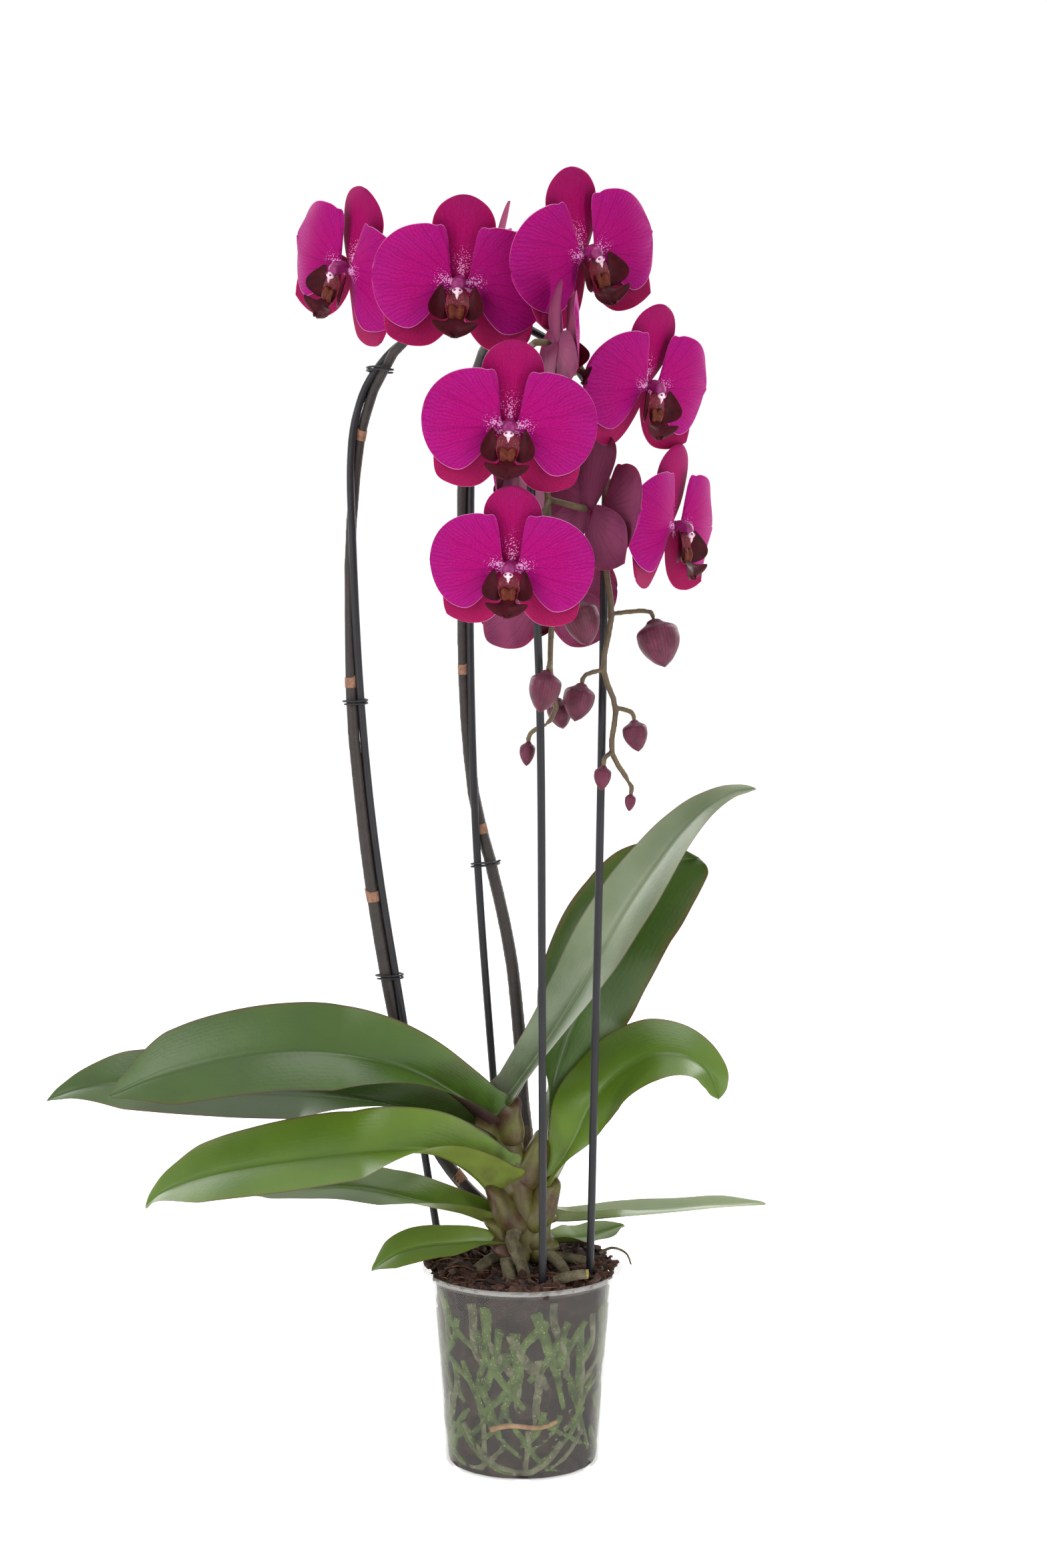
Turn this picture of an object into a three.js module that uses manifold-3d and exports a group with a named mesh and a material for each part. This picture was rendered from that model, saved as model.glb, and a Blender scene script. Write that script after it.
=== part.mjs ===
// Two-stem moth orchid (phalaenopsis) in a clear 12 cm nursery pot, held up by two wire hoops.
// Units are millimetres. +Z is up, the plant faces -Y, and the origin is the middle of the pot's underside.
import * as THREE from "three";
import Module from "manifold-3d";

const wasm = await Module();
wasm.setup();

// ---- driving dimensions -------------------------------------------------------------
const POT_HEIGHT = 118;
const POT_BASE_RADIUS = 46.2;
const POT_NECK_RADIUS = 54;
const POT_RIM_RADIUS = 60;
const POT_RIM_DEPTH = 5;
const POT_WALL = 1.2;
const POT_FLOOR = 2;
const POT_NOTCHES = 6;
const POT_NOTCH_RADIUS = 4.2;
const SOIL_TOP = 109;
const SOIL_MOUND = 9;
const FIT = 0.4;
const WALL_ROOT_RADIUS = 2.3;
const STAKE_RADIUS = 2.5;
const CLIP_WIRE_RADIUS = 0.7;
const HOOP_ARCH_RADIUS = 74;
const OUTER_ARCH_HEIGHT = 607;
const INNER_ARCH_HEIGHT = 588;
const SPIKE_FOOT_RADIUS = 3.3;
const SPIKE_TIP_RADIUS = 1.2;
const PEDICEL_RADIUS = 1.3;
const LEAF_THICKNESS = 2.2;
const FLOWER_KNOB_BACK = 5;
const PETAL_REACH = 51;
const SEPAL_REACH = 49;
const TEPAL_THICKNESS = 1.3;

// ---- materials ----------------------------------------------------------------------
function material(name, colour, roughness, metalness = 0) {
  const m = new THREE.MeshStandardMaterial({ color: colour, roughness, metalness });
  m.name = name;
  return m;
}

const look = {
  pot: () => material("clear_pot_plastic", "#c9cdcb", 0.25),
  bark: () => material("bark_chips", "#3b2419", 0.95),
  root: () => material("orchid_root", "#7f8a66", 0.8),
  stake: () => material("coated_wire", "#2b2a2e", 0.5, 0.2),
  clip: () => material("clip_wire", "#222226", 0.5, 0.3),
  spike: () => material("flower_spike", "#584b45", 0.6),
  crown: () => material("crown_sheaths", "#5f6b34", 0.6),
  leaf: () => material("leaf", "#2f5a24", 0.4),
  petal: () => material("magenta_petal", "#a8077c", 0.55),
  lip: () => material("maroon_lip", "#5a0c26", 0.5),
  bud: () => material("maroon_bud", "#6b3046", 0.55),
};

// ---- shape helpers ------------------------------------------------------------------
function vec(p) {
  return new THREE.Vector3(p[0], p[1], p[2]);
}

function signedVolume(geometry) {
  const p = geometry.attributes.position;
  const index = geometry.index.array;
  const a = new THREE.Vector3();
  const b = new THREE.Vector3();
  const c = new THREE.Vector3();
  let sum = 0;
  for (let i = 0; i < index.length; i += 3) {
    a.fromBufferAttribute(p, index[i]);
    b.fromBufferAttribute(p, index[i + 1]);
    c.fromBufferAttribute(p, index[i + 2]);
    sum += a.dot(b.cross(c));
  }
  return sum / 6;
}

function facingOut(geometry) {
  if (signedVolume(geometry) > 0) return geometry;
  const index = geometry.index.array;
  for (let i = 0; i < index.length; i += 3) {
    const keep = index[i];
    index[i] = index[i + 1];
    index[i + 1] = keep;
  }
  return geometry;
}

// A grown form: a unit ball carried to place(along, across, thick), where along runs 0..1 from
// one pole to the other and (across, thick) is a point on the unit circle round it.
function grown(around, rings, place) {
  const ball = new THREE.SphereGeometry(1, around, rings);
  const p = ball.attributes.position;
  for (let i = 0; i < p.count; i++) {
    const y = Math.max(-1, Math.min(1, p.getY(i)));
    const r = Math.hypot(p.getX(i), p.getZ(i));
    const pole = r < 1e-6;
    const across = pole ? 0 : p.getX(i) / r;
    const thick = pole ? 0 : p.getZ(i) / r;
    const q = place((1 - y) / 2, across, thick, pole ? 0 : 1);
    p.setXYZ(i, q.x, q.y, q.z);
  }
  ball.deleteAttribute("normal");
  ball.deleteAttribute("uv");
  return facingOut(ball);
}

// A rod along a curve whose radius is given along its length, with rounded ends.
function rod(points, radiusAt, around, rings) {
  const curve = new THREE.CatmullRomCurve3(points.map(vec), false, "centripetal");
  const frames = curve.computeFrenetFrames(200, false);
  return grown(around, rings, (t, across, thick, open) => {
    const s = (1 - Math.cos(Math.PI * t)) / 2;
    const along = 0.5 * s + 0.5 * Math.acos(1 - 2 * t) / Math.PI;
    const k = Math.round(along * 200);
    const r = radiusAt(along) * open;
    return curve
      .getPointAt(along)
      .addScaledVector(frames.normals[k], across * r)
      .addScaledVector(frames.binormals[k], thick * r);
  });
}

// A bent wire of even thickness.
function wire(points, radius, steps, sides) {
  const curve = new THREE.CatmullRomCurve3(points.map(vec), false, "centripetal");
  const round = new THREE.Shape();
  for (let i = 0; i < sides; i++) {
    const a = (2 * Math.PI * i) / sides;
    const x = radius * Math.cos(a);
    const y = radius * Math.sin(a);
    if (i === 0) round.moveTo(x, y);
    else round.lineTo(x, y);
  }
  round.closePath();
  return new THREE.ExtrudeGeometry(round, { steps, extrudePath: curve, bevelEnabled: false });
}

function solid(geometry) {
  const g = geometry.index ? geometry.toNonIndexed() : geometry;
  const p = g.attributes.position;
  const seen = new Map();
  const points = [];
  const tris = [];
  for (let i = 0; i < p.count; i++) {
    const xyz = [p.getX(i), p.getY(i), p.getZ(i)];
    const key = xyz.map((c) => Math.round(c * 1000)).join(",");
    if (!seen.has(key)) {
      seen.set(key, points.length / 3);
      points.push(...xyz);
    }
    tris.push(seen.get(key));
  }
  const kept = [];
  for (let i = 0; i < tris.length; i += 3) {
    const [a, b, c] = [tris[i], tris[i + 1], tris[i + 2]];
    if (a !== b && b !== c && c !== a) kept.push(a, b, c);
  }
  return new wasm.Manifold(
    new wasm.Mesh({
      numProp: 3,
      vertProperties: new Float32Array(points),
      triVerts: new Uint32Array(kept),
    }),
  );
}

function shape(body) {
  const m = body.getMesh();
  const points = new Float32Array(m.numVert * 3);
  for (let i = 0; i < m.numVert; i++) {
    points.set(m.vertProperties.subarray(i * m.numProp, i * m.numProp + 3), i * 3);
  }
  return new THREE.BufferGeometry()
    .setAttribute("position", new THREE.BufferAttribute(points, 3))
    .setIndex(new THREE.BufferAttribute(new Uint32Array(m.triVerts), 1));
}

function joined(geometries) {
  return geometries.map(solid).reduce((whole, next) => whole.add(next));
}

const plant = new THREE.Group();
plant.name = "moth_orchid";

function place(name, geometry, skin) {
  const mesh = new THREE.Mesh(geometry, skin);
  mesh.name = name;
  plant.add(mesh);
}

// ---- pot ----------------------------------------------------------------------------
function insideRadius(z) {
  const t = (z - POT_FLOOR) / (POT_HEIGHT - POT_RIM_DEPTH - POT_FLOOR);
  return POT_BASE_RADIUS - POT_WALL + (POT_NECK_RADIUS - POT_BASE_RADIUS) * t;
}

function pot() {
  const neck = POT_HEIGHT - POT_RIM_DEPTH;
  const profile = [
    [0, 0],
    [POT_BASE_RADIUS - 0.8, 0],
    [POT_BASE_RADIUS, 0.8],
    [POT_NECK_RADIUS, neck - 1],
    [POT_RIM_RADIUS - 0.8, neck - 0.4],
    [POT_RIM_RADIUS, neck + 0.6],
    [POT_RIM_RADIUS, POT_HEIGHT - 1],
    [POT_RIM_RADIUS - 1, POT_HEIGHT],
    [POT_NECK_RADIUS + 2.6, POT_HEIGHT],
    [POT_NECK_RADIUS + 0.6, POT_HEIGHT - 1.6],
    [POT_NECK_RADIUS - POT_WALL, neck],
    [POT_BASE_RADIUS - POT_WALL, POT_FLOOR],
    [0, POT_FLOOR],
  ].map(([r, z]) => new THREE.Vector2(r, z));
  const shell = new THREE.LatheGeometry(profile, 48);
  shell.rotateX(Math.PI / 2);
  let body = solid(facingOut(indexed(shell)));
  for (let i = 0; i < POT_NOTCHES; i++) {
    const hole = new THREE.CylinderGeometry(POT_NOTCH_RADIUS, POT_NOTCH_RADIUS, 5, 12);
    hole.rotateZ(Math.PI / 2);
    hole.translate(POT_BASE_RADIUS, 0, 0.6);
    hole.rotateZ((2 * Math.PI * (i + 0.5)) / POT_NOTCHES);
    body = body.subtract(solid(hole));
  }
  return shape(body);
}

function indexed(geometry) {
  if (geometry.index) return geometry;
  const count = geometry.attributes.position.count;
  return geometry.setIndex([...Array(count).keys()]);
}

// ---- stakes -------------------------------------------------------------------------
// The broad hoop stands nearly across the plant, its left leg behind the leaves.
function outerHoop(radius) {
  const left = [
    [-32, 12, 14],
    [-35, 13, 58],
    [-40, 14.8, 82],
    [-45.4, 16.4, 104],
    [-47, 17, 113],
    [-49.2, 17.8, 122],
    [-60, 20, 190],
    [-71, 21, 262],
    [-87, 21, 365],
    [-95.5, 20, 455],
    [-100, 18, 560],
  ];
  const right = [
    [47.3, -37, 560],
    [46, -37, 450],
    [44.4, -35, 350],
    [42.3, -29, 240],
    [40, -16, 114],
    [36, -12, 14],
  ];
  const arch = [];
  for (let i = 0; i <= 8; i++) {
    const a = Math.PI * (1 - i / 8);
    const x = -26.5 + HOOP_ARCH_RADIUS * Math.cos(a);
    arch.push([x, 18 - ((x + 100) * 55) / 147, OUTER_ARCH_HEIGHT + HOOP_ARCH_RADIUS * Math.sin(a)]);
  }
  return wire([...left, ...arch, ...right], radius, 52, 8);
}

// The second hoop stands nearly front to back, inside the first.
function innerHoop(radius) {
  const back = [
    [-6, 28, 14],
    [-8.5, 34, 112],
    [-17, 45, 216],
    [-28, 57, 370],
    [-31.5, 66, 495],
    [-31, 72, 570],
  ];
  const front = [
    [5.5, -74, 570],
    [9, -66, 498],
    [10.5, -60, 444],
    [11.5, -48, 287],
    [12, -38, 113],
    [11, -30, 14],
  ];
  const arch = [];
  for (let i = 0; i <= 8; i++) {
    const a = (Math.PI * i) / 8;
    const y = HOOP_ARCH_RADIUS * Math.cos(a);
    arch.push([-13 - (y * 18) / 74, y, INNER_ARCH_HEIGHT + HOOP_ARCH_RADIUS * Math.sin(a)]);
  }
  return wire([...back, ...arch, ...front], radius, 50, 8);
}

// ---- wire clips ---------------------------------------------------------------------
// Two turns of thin wire round a stake and the stem beside it.
function clip(stakeAt, stemAt, stemRadius, along = [0, 0, 1]) {
  const a = vec(stakeAt);
  const b = vec(stemAt);
  const out = b.clone().sub(a);
  const half = out.length() / 2;
  out.normalize();
  const up = vec(along);
  up.addScaledVector(out, -up.dot(out)).normalize();
  const side = new THREE.Vector3().crossVectors(up, out);
  const middle = a.clone().add(b).multiplyScalar(0.5);
  const reach = Math.max(STAKE_RADIUS, stemRadius) + CLIP_WIRE_RADIUS + 0.9;
  const turns = 1.75;
  const points = [];
  for (let i = 0; i <= 20; i++) {
    const t = i / 20;
    const w = 2 * Math.PI * (turns * t + 0.1);
    points.push(
      middle
        .clone()
        .addScaledVector(out, (half + reach) * Math.cos(w))
        .addScaledVector(side, (reach + 0.6) * Math.sin(w))
        .addScaledVector(up, (t - 0.5) * 4.4),
    );
  }
  const tail = points[20].clone().addScaledVector(side, -3.2).addScaledVector(up, 1.4);
  points.push(tail);
  return rod(points.map((q) => q.toArray()), () => CLIP_WIRE_RADIUS, 4, 28);
}

// ---- flowers ------------------------------------------------------------------------
// A flower's own frame: x to its right as met face on, y up, z out of its face.
function flowerFrame({ at, yaw, down = 0, roll = 0, size = 1 }) {
  const a = THREE.MathUtils.degToRad(yaw);
  const d = THREE.MathUtils.degToRad(down);
  const c = THREE.MathUtils.degToRad(roll);
  const out = new THREE.Vector3(Math.sin(a) * Math.cos(d), -Math.cos(a) * Math.cos(d), -Math.sin(d));
  const level = new THREE.Vector3(Math.cos(a), Math.sin(a), 0);
  const rise = new THREE.Vector3().crossVectors(out, level);
  const right = level.clone().multiplyScalar(Math.cos(c)).addScaledVector(rise, -Math.sin(c));
  const up = level.clone().multiplyScalar(Math.sin(c)).addScaledVector(rise, Math.cos(c));
  const m = new THREE.Matrix4().makeBasis(right, up, out);
  m.setPosition(at[0], at[1], at[2]);
  return m.scale(new THREE.Vector3(size, size, size));
}

function lerpTable(table, t) {
  const u = Math.max(0, Math.min(1, t)) * (table.length - 1);
  const i = Math.min(table.length - 2, Math.floor(u));
  return table[i] + (table[i + 1] - table[i]) * (u - i);
}

// Upper and lower edges of a petal, at even steps from its claw to its outer end.
const PETAL_TOP = [5, 21, 29, 31.5, 31, 27, 18, 4];
const PETAL_FOOT = [-5, -16, -25, -29, -29, -26, -19, -2];

function petal(hand) {
  return grown(8, 6, (t, across, thick) => {
    const top = lerpTable(PETAL_TOP, t);
    const foot = lerpTable(PETAL_FOOT, t);
    const y = (top + foot) / 2 + ((top - foot) / 2) * across;
    const z = 0.6 + 4.2 * Math.sin(Math.PI * t) - 3 * t * t - 1.6 * across * across * t;
    return new THREE.Vector3(hand * (1 + (PETAL_REACH - 1) * t), y, z + thick * TEPAL_THICKNESS * 0.5);
  });
}

function sepal(turn, reach, halfWidth) {
  const blade = grown(6, 6, (t, across, thick) => {
    const swell = Math.pow(Math.sin(Math.PI * Math.pow(t, 0.8) * 0.93 + 0.12), 0.8);
    const z = -2.6 - 2.4 * Math.sin(Math.PI * t) + 2.2 * t * t - 2 * across * across;
    return new THREE.Vector3(halfWidth * swell * across, reach * t, z + thick * TEPAL_THICKNESS * 0.5);
  });
  return blade.rotateZ(THREE.MathUtils.degToRad(turn));
}

function knob() {
  return grown(6, 4, (t, across, thick) => {
    const r = 5.2 * Math.sqrt(Math.max(0, 1 - (2 * t - 1) ** 2));
    return new THREE.Vector3(across * r, thick * r, -FLOWER_KNOB_BACK + 7 * t);
  });
}

function tepals(flower) {
  const whole = joined([
    knob(),
    sepal(0, SEPAL_REACH, 19.5),
    sepal(129, SEPAL_REACH + 2, 18),
    sepal(-129, SEPAL_REACH + 2, 18),
    petal(1),
    petal(-1),
  ]);
  return shape(whole).applyMatrix4(flowerFrame(flower));
}

function column() {
  return grown(6, 4, (t, across, thick) => {
    const r = 4 * Math.sqrt(Math.max(0, 1 - (2 * t - 1) ** 2));
    return new THREE.Vector3(across * r, 3.4 + thick * r * 0.9 - 3 * t * t, 2.9 + 10 * t);
  });
}

function sideLobe(hand) {
  return grown(5, 4, (t, across, thick) => {
    const r = Math.sqrt(Math.max(0, 1 - (2 * t - 1) ** 2));
    const x = 3 + 7 * t - 1.6 * thick * r;
    return new THREE.Vector3(hand * x, -8 + 7.5 * t + across * r * 3, 5.5 + 8 * t + across * r * 4.5);
  });
}

function midLobe() {
  return grown(6, 6, (t, across, thick) => {
    const half = lerpTable([3, 4.2, 6, 9.5, 6.5, 2], t);
    const z = 6.5 + 9 * Math.sin(Math.PI * 0.62 * t) - 2 * across * across;
    return new THREE.Vector3(half * across, 1 - 29 * t, z + thick * 1.3);
  });
}

function lipAndColumn(flower) {
  const whole = joined([midLobe(), column(), sideLobe(1), sideLobe(-1)]);
  return shape(whole).applyMatrix4(flowerFrame(flower));
}

// The twelve open flowers: those of the tall outer spike first, then those of the inner one.
const FLOWERS = [
  { at: [-102, 22, 709], yaw: -47, down: 4, roll: 22 },
  { at: [-35, -42, 699], yaw: -5, down: 6, roll: 4 },
  { at: [-10, 52, 702], yaw: 84, down: 4, roll: 0, size: 0.96 },
  { at: [36, -45, 715], yaw: 36, down: 0, roll: -14 },
  { at: [71.5, -55, 641], yaw: 42, down: 10, roll: 4, size: 0.94 },
  { at: [87, -35, 561], yaw: 58, down: 4, roll: 4, size: 0.96 },
  { at: [22.5, -85, 664], yaw: 104, down: 4, roll: 20, size: 0.76 },
  { at: [-7, -109, 620], yaw: 0, down: 6, roll: 4, size: 0.95 },
  { at: [1, -34, 594], yaw: -116, down: 4, roll: 0, size: 0.86 },
  { at: [41, -64, 571], yaw: 126, down: 12, roll: 0, size: 0.88 },
  { at: [-6, -106, 543], yaw: -8, down: 8, roll: 2, size: 0.9, via: [13, -84, 572] },
  { at: [12, -24, 523], yaw: -165, down: 6, roll: 0, size: 0.86 },
];

function behind(flower, distance) {
  const m = flowerFrame(flower);
  return new THREE.Vector3(0, 0, -distance / (flower.size || 1)).applyMatrix4(m);
}

// ---- flower spikes ------------------------------------------------------------------
const OUTER_SPIKE = [
  [-13.5, 9, 146],
  [-33, 14, 163],
  [-52, 23, 188],
  [-65, 28, 222],
  [-74.5, 27.5, 248],
  [-84, 23, 290],
  [-92.5, 21.5, 341],
  [-97.5, 21, 394],
  [-101.5, 20.5, 438],
  [-102.6, 24, 490],
  [-102.4, 26, 540],
  [-98, 25.5, 578],
  [-90, 22, 618],
  [-77.5, 9, 652],
  [-66, -3, 668],
  [-48, -10, 681],
  [-22, -16, 688],
  [4, -27, 682],
  [24, -37, 665],
  [40, -43, 636],
  [46.5, -45, 600],
  [47.5, -45, 560],
  [48, -45.5, 536],
  [51, -46, 512],
  [46.5, -46, 480],
  [53.5, -44, 458],
  [51.5, -42, 432],
  [60, -40, 417],
  [63, -40, 411],
];

const INNER_SPIKE = [
  [4.5, 11, 167],
  [3, 18, 192],
  [0, 32, 214],
  [-1, 44, 240],
  [-3, 50, 262],
  [-6, 54, 290],
  [-10, 57, 313],
  [-15, 61, 340],
  [-20, 63, 364],
  [-27, 65, 384],
  [-33, 66, 423],
  [-37, 69, 471],
  [-38.5, 72, 520],
  [-38, 73, 575],
  [-36, 66, 618],
  [-29, 44, 650],
  [-20, 16, 670],
  [-9, -14, 671],
  [4, -42, 656],
  [10, -62, 630],
  [13, -70, 600],
  [14.5, -70, 578],
  [16.5, -66, 545],
  [17, -60, 515],
  [16, -55, 480],
  [19, -51, 456],
  [11, -49, 446],
];

function spikeRadius(t) {
  return SPIKE_FOOT_RADIUS + (SPIKE_TIP_RADIUS - SPIKE_FOOT_RADIUS) * Math.pow(t, 0.9);
}

// A flower stalk from the stem to just short of the flower's back, with room to curve.
function pedicel(from, flower) {
  const end = [behind(flower, 15).toArray(), behind(flower, FLOWER_KNOB_BACK + FIT).toArray()];
  const points = flower.via ? [from, flower.via, ...end] : [from, ...end];
  return rod(points, (t) => PEDICEL_RADIUS + 0.5 * t, 6, 7);
}

function budStalk(from, bud) {
  const top = vec(bud.at).addScaledVector(vec(bud.hang).normalize(), -bud.length / 2 - FIT);
  const rise = top.clone().addScaledVector(vec(bud.hang).normalize(), -5);
  return rod([from, rise.toArray(), top.toArray()], () => PEDICEL_RADIUS - 0.2, 5, 7);
}

// ---- buds ---------------------------------------------------------------------------
// Nine buds: where each sits, which way its tip points, its length and width.
const BUDS = [
  { at: [78, -54, 495], hang: [0.25, -0.2, -1], length: 27, width: 27, from: [51, -46, 512] },
  { at: [32, -52, 461], hang: [-0.2, -0.1, -1], length: 21, width: 20, from: [46.5, -46, 480] },
  { at: [65.5, -45, 441], hang: [0.15, -0.1, -1], length: 17, width: 16, from: [53.5, -44, 458] },
  { at: [46, -48, 417], hang: [-0.1, -0.1, -1], length: 13, width: 11, from: [51.5, -42, 432] },
  { at: [62, -41, 402], hang: [-0.1, 0, -1], length: 9, width: 7, from: [61.5, -40, 414] },
  { at: [34, -62, 507], hang: [0.3, -0.2, -1], length: 26, width: 23, from: [17, -60, 520] },
  { at: [12, -80, 470], hang: [-0.2, -0.1, -1], length: 23, width: 20, from: [16, -55, 482] },
  { at: [22, -37, 453], hang: [0.2, 0.1, -1], length: 17, width: 16, from: [19, -51, 458] },
  { at: [3, -48, 431], hang: [-0.1, 0, -1], length: 13, width: 10, from: [13, -49.6, 449] },
];

function bud({ at, hang, length, width }) {
  const down = vec(hang).normalize();
  const side = new THREE.Vector3(0, 1, 0).cross(down).normalize();
  const front = new THREE.Vector3().crossVectors(down, side);
  return grown(8, 7, (t, across, thick) => {
    const swell = Math.sqrt(Math.max(0, 1 - (2 * t - 1) ** 2)) * (1.12 - 0.42 * t);
    return vec(at)
      .addScaledVector(down, (t - 0.5) * length)
      .addScaledVector(side, (across * swell * width) / 2)
      .addScaledVector(front, (thick * swell * width) / 2.2);
  });
}

// ---- crown, leaves, aerial roots ----------------------------------------------------
function crown() {
  const points = [
    [1, 1, 126],
    [0, 1, 148],
    [-5, 0, 176],
    [-11, -1, 207],
  ];
  return rod(points, (t) => 8.6 - 2 * t, 10, 9);
}

// Each leaf: the run of its midrib from the crown outward, its width and how far it tips to the front.
const LEAVES = {
  leaf_left_1: {
    rib: [[-21, -4, 205], [-34, -8, 219], [-61, -12, 237], [-103, -16, 250], [-141, -18, 252], [-181, -18, 246],
      [-219, -16, 235], [-245, -12, 223]],
    width: 59, tip: 50, foot: 26,
  },
  leaf_left_2: {
    rib: [[-20.5, 3, 187], [-37, 2, 200], [-73, 0, 214], [-121, 12, 219], [-173, 20, 220], [-226, 24, 223],
      [-262, 22, 222], [-286, 20, 214]],
    width: 56, tip: 34, foot: 22,
  },
  leaf_left_3: {
    rib: [[-16, -10, 165], [-28, -19, 179], [-52, -30, 194], [-87, -38, 196], [-138, -42, 191], [-181, -41, 183],
      [-212, -38, 171], [-221, -36, 162]],
    width: 58, tip: 32, foot: 24,
  },
  leaf_left_4: {
    rib: [[-15, -2, 145], [-30, -4, 151], [-50, -6, 156], [-65, -6, 159], [-98, -2, 165], [-131, 4, 164],
      [-155, 8, 163], [-175, 8, 158]],
    width: 46, tip: 14, foot: 18,
  },
  leaf_left_5: {
    rib: [[-11, -9, 133], [-25, -14, 136], [-40, -19, 136], [-56, -24, 136], [-72, -28, 133], [-89, -30, 123]],
    width: 30, tip: 26, foot: 12,
  },
  leaf_right_1: {
    rib: [[-9, -2, 216], [5, 0, 238], [31, 3, 278], [55, 6, 321], [75, 8, 352], [98, 10, 382], [119, 12, 399],
      [139, 14, 404]],
    width: 48, tip: 32, foot: 24,
  },
  leaf_right_2: {
    rib: [[11.5, 6, 190], [16, 24, 218], [29, 37, 257], [47, 47, 297], [71, 51, 333], [91, 53, 353], [107, 53, 357]],
    width: 66, tip: 78, foot: 12,
  },
  leaf_right_3: {
    rib: [[15.5, 0, 166], [28, 1, 188], [41, 7, 213], [59, 9, 233], [79, 9, 244], [98, 7, 243], [112, 4, 233],
      [117, 1, 219]],
    width: 56, tip: 30, foot: 16,
  },
  leaf_right_4: {
    rib: [[12, 5, 148], [27, 12, 144], [56, 20, 144], [88, 26, 145], [121, 30, 147], [148, 32, 148]],
    width: 42, tip: 1, foot: 18,
  },
  leaf_right_5: {
    rib: [[12, 5, 131], [24, 10, 131], [40, 16, 131], [62, 22, 137]],
    width: 30, tip: 6, foot: 12,
  },
};

function leaf({ rib, width, tip, foot }) {
  const curve = new THREE.CatmullRomCurve3(rib.map(vec), false, "centripetal");
  const lean = THREE.MathUtils.degToRad(tip);
  return grown(8, 13, (t, across, thick, open) => {
    const along = curve.getTangentAt(t);
    const level = new THREE.Vector3(-along.y, along.x, 0);
    if (level.y > 0) level.negate();
    level.normalize();
    let up = new THREE.Vector3().crossVectors(along, level);
    if (up.z < 0) up.negate();
    const front = level.clone().multiplyScalar(Math.cos(lean)).addScaledVector(up, -Math.sin(lean));
    up = up.multiplyScalar(Math.cos(lean)).addScaledVector(level, Math.sin(lean));
    const grow = Math.sin((Math.PI / 2) * Math.min(1, t / 0.5));
    const close = t > 0.55 ? Math.sqrt(Math.max(0, 1 - Math.pow((t - 0.55) / 0.45, 2.6))) : 1;
    const half = (foot / 2 + ((width - foot) / 2) * grow * grow) * close;
    const fold = (0.26 - 0.14 * t) * Math.abs(across) * half;
    const thin = LEAF_THICKNESS * (1.3 - 0.6 * t) * 0.5 * open;
    return curve
      .getPointAt(t)
      .addScaledVector(front, across * half)
      .addScaledVector(up, fold + thick * thin);
  });
}

const AERIAL_ROOTS = {
  root_front_centre: { run: [[-4, -9, 143], [-6, -19, 138], [0, -25, 124], [3, -28, 113]], radius: 3.2 },
  root_front_left: { run: [[-2, -10, 130], [-8, -14, 128], [-8, -21, 121], [-5, -31, 112]], radius: 3.6 },
  root_left: { run: [[-9, -4, 128], [-19, -9, 124], [-28, -15, 119], [-38, -17, 113]], radius: 2.9 },
  root_right: { run: [[11, -4, 127], [17, -8, 126], [24, -11, 120], [28, -16, 112]], radius: 2.9 },
  root_far_right: { run: [[11, 2, 124], [27, 2, 122], [42, 0, 119], [49, -4, 113]], radius: 2.6 },
};

function aerialRoot({ run, radius }, extra = 0) {
  return rod(run, (t) => radius * (1 - 0.25 * t) + extra, 7, 8);
}

// ---- potting mix and the roots pressed against the pot's wall ------------------------
function soilTop(x, y) {
  const r = Math.hypot(x, y);
  const mound = SOIL_MOUND * Math.exp(-((x + 30) ** 2 + (y - 14) ** 2) / 900);
  const lumps = 1.4 * Math.sin(x * 0.31 + 1) * Math.cos(y * 0.27) + Math.sin(x * 0.13 - y * 0.19);
  return SOIL_TOP + mound + lumps + 3 * (1 - (r / 50) ** 2);
}

function barkBody() {
  const wall = 2 * WALL_ROOT_RADIUS + 4 * FIT;
  return grown(30, 15, (t, across, thick) => {
    const level = 1 - t;
    if (level > 0.45) {
      const r = ((1 - level) / 0.55) * (insideRadius(112) - FIT - 1.2);
      const x = across * r;
      const y = thick * r;
      return new THREE.Vector3(x, y, soilTop(x, y));
    }
    if (level < 0.12) {
      const r = (level / 0.12) * (insideRadius(4) - wall);
      return new THREE.Vector3(across * r, thick * r, POT_FLOOR + FIT);
    }
    const rise = (level - 0.12) / 0.33;
    const z = POT_FLOOR + FIT + rise * 96;
    const r = insideRadius(z) - wall;
    return new THREE.Vector3(across * r, thick * r, z);
  });
}

// Seven roots winding round inside the wall, each crossing its neighbours.
function wallRoots() {
  const pieces = [];
  for (let i = 0; i < 7; i++) {
    const points = [];
    for (let j = 0; j <= 8; j++) {
      const t = j / 8;
      const turn = (i / 7) * 2 * Math.PI + 0.44 + 1.5 * t * (i % 2 ? -1 : 1) + 0.16 * Math.sin(9 * t + i);
      const z = 86 - 78 * t + 3 * Math.sin(7 * t + 2 * i);
      const r = insideRadius(z) - WALL_ROOT_RADIUS - FIT - 0.3;
      points.push([r * Math.cos(turn), r * Math.sin(turn), z]);
    }
    pieces.push(rod(points, () => WALL_ROOT_RADIUS, 5, 14));
  }
  const ring = [];
  for (let j = 0; j <= 12; j++) {
    const turn = (j / 12) * 2 * Math.PI * 0.97;
    const z = 40 + 3 * Math.sin(3 * turn);
    const r = insideRadius(z) - WALL_ROOT_RADIUS - FIT - 0.3;
    ring.push([r * Math.cos(turn), r * Math.sin(turn), z]);
  }
  pieces.push(rod(ring, () => WALL_ROOT_RADIUS, 5, 26));
  return joined(pieces);
}

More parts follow.
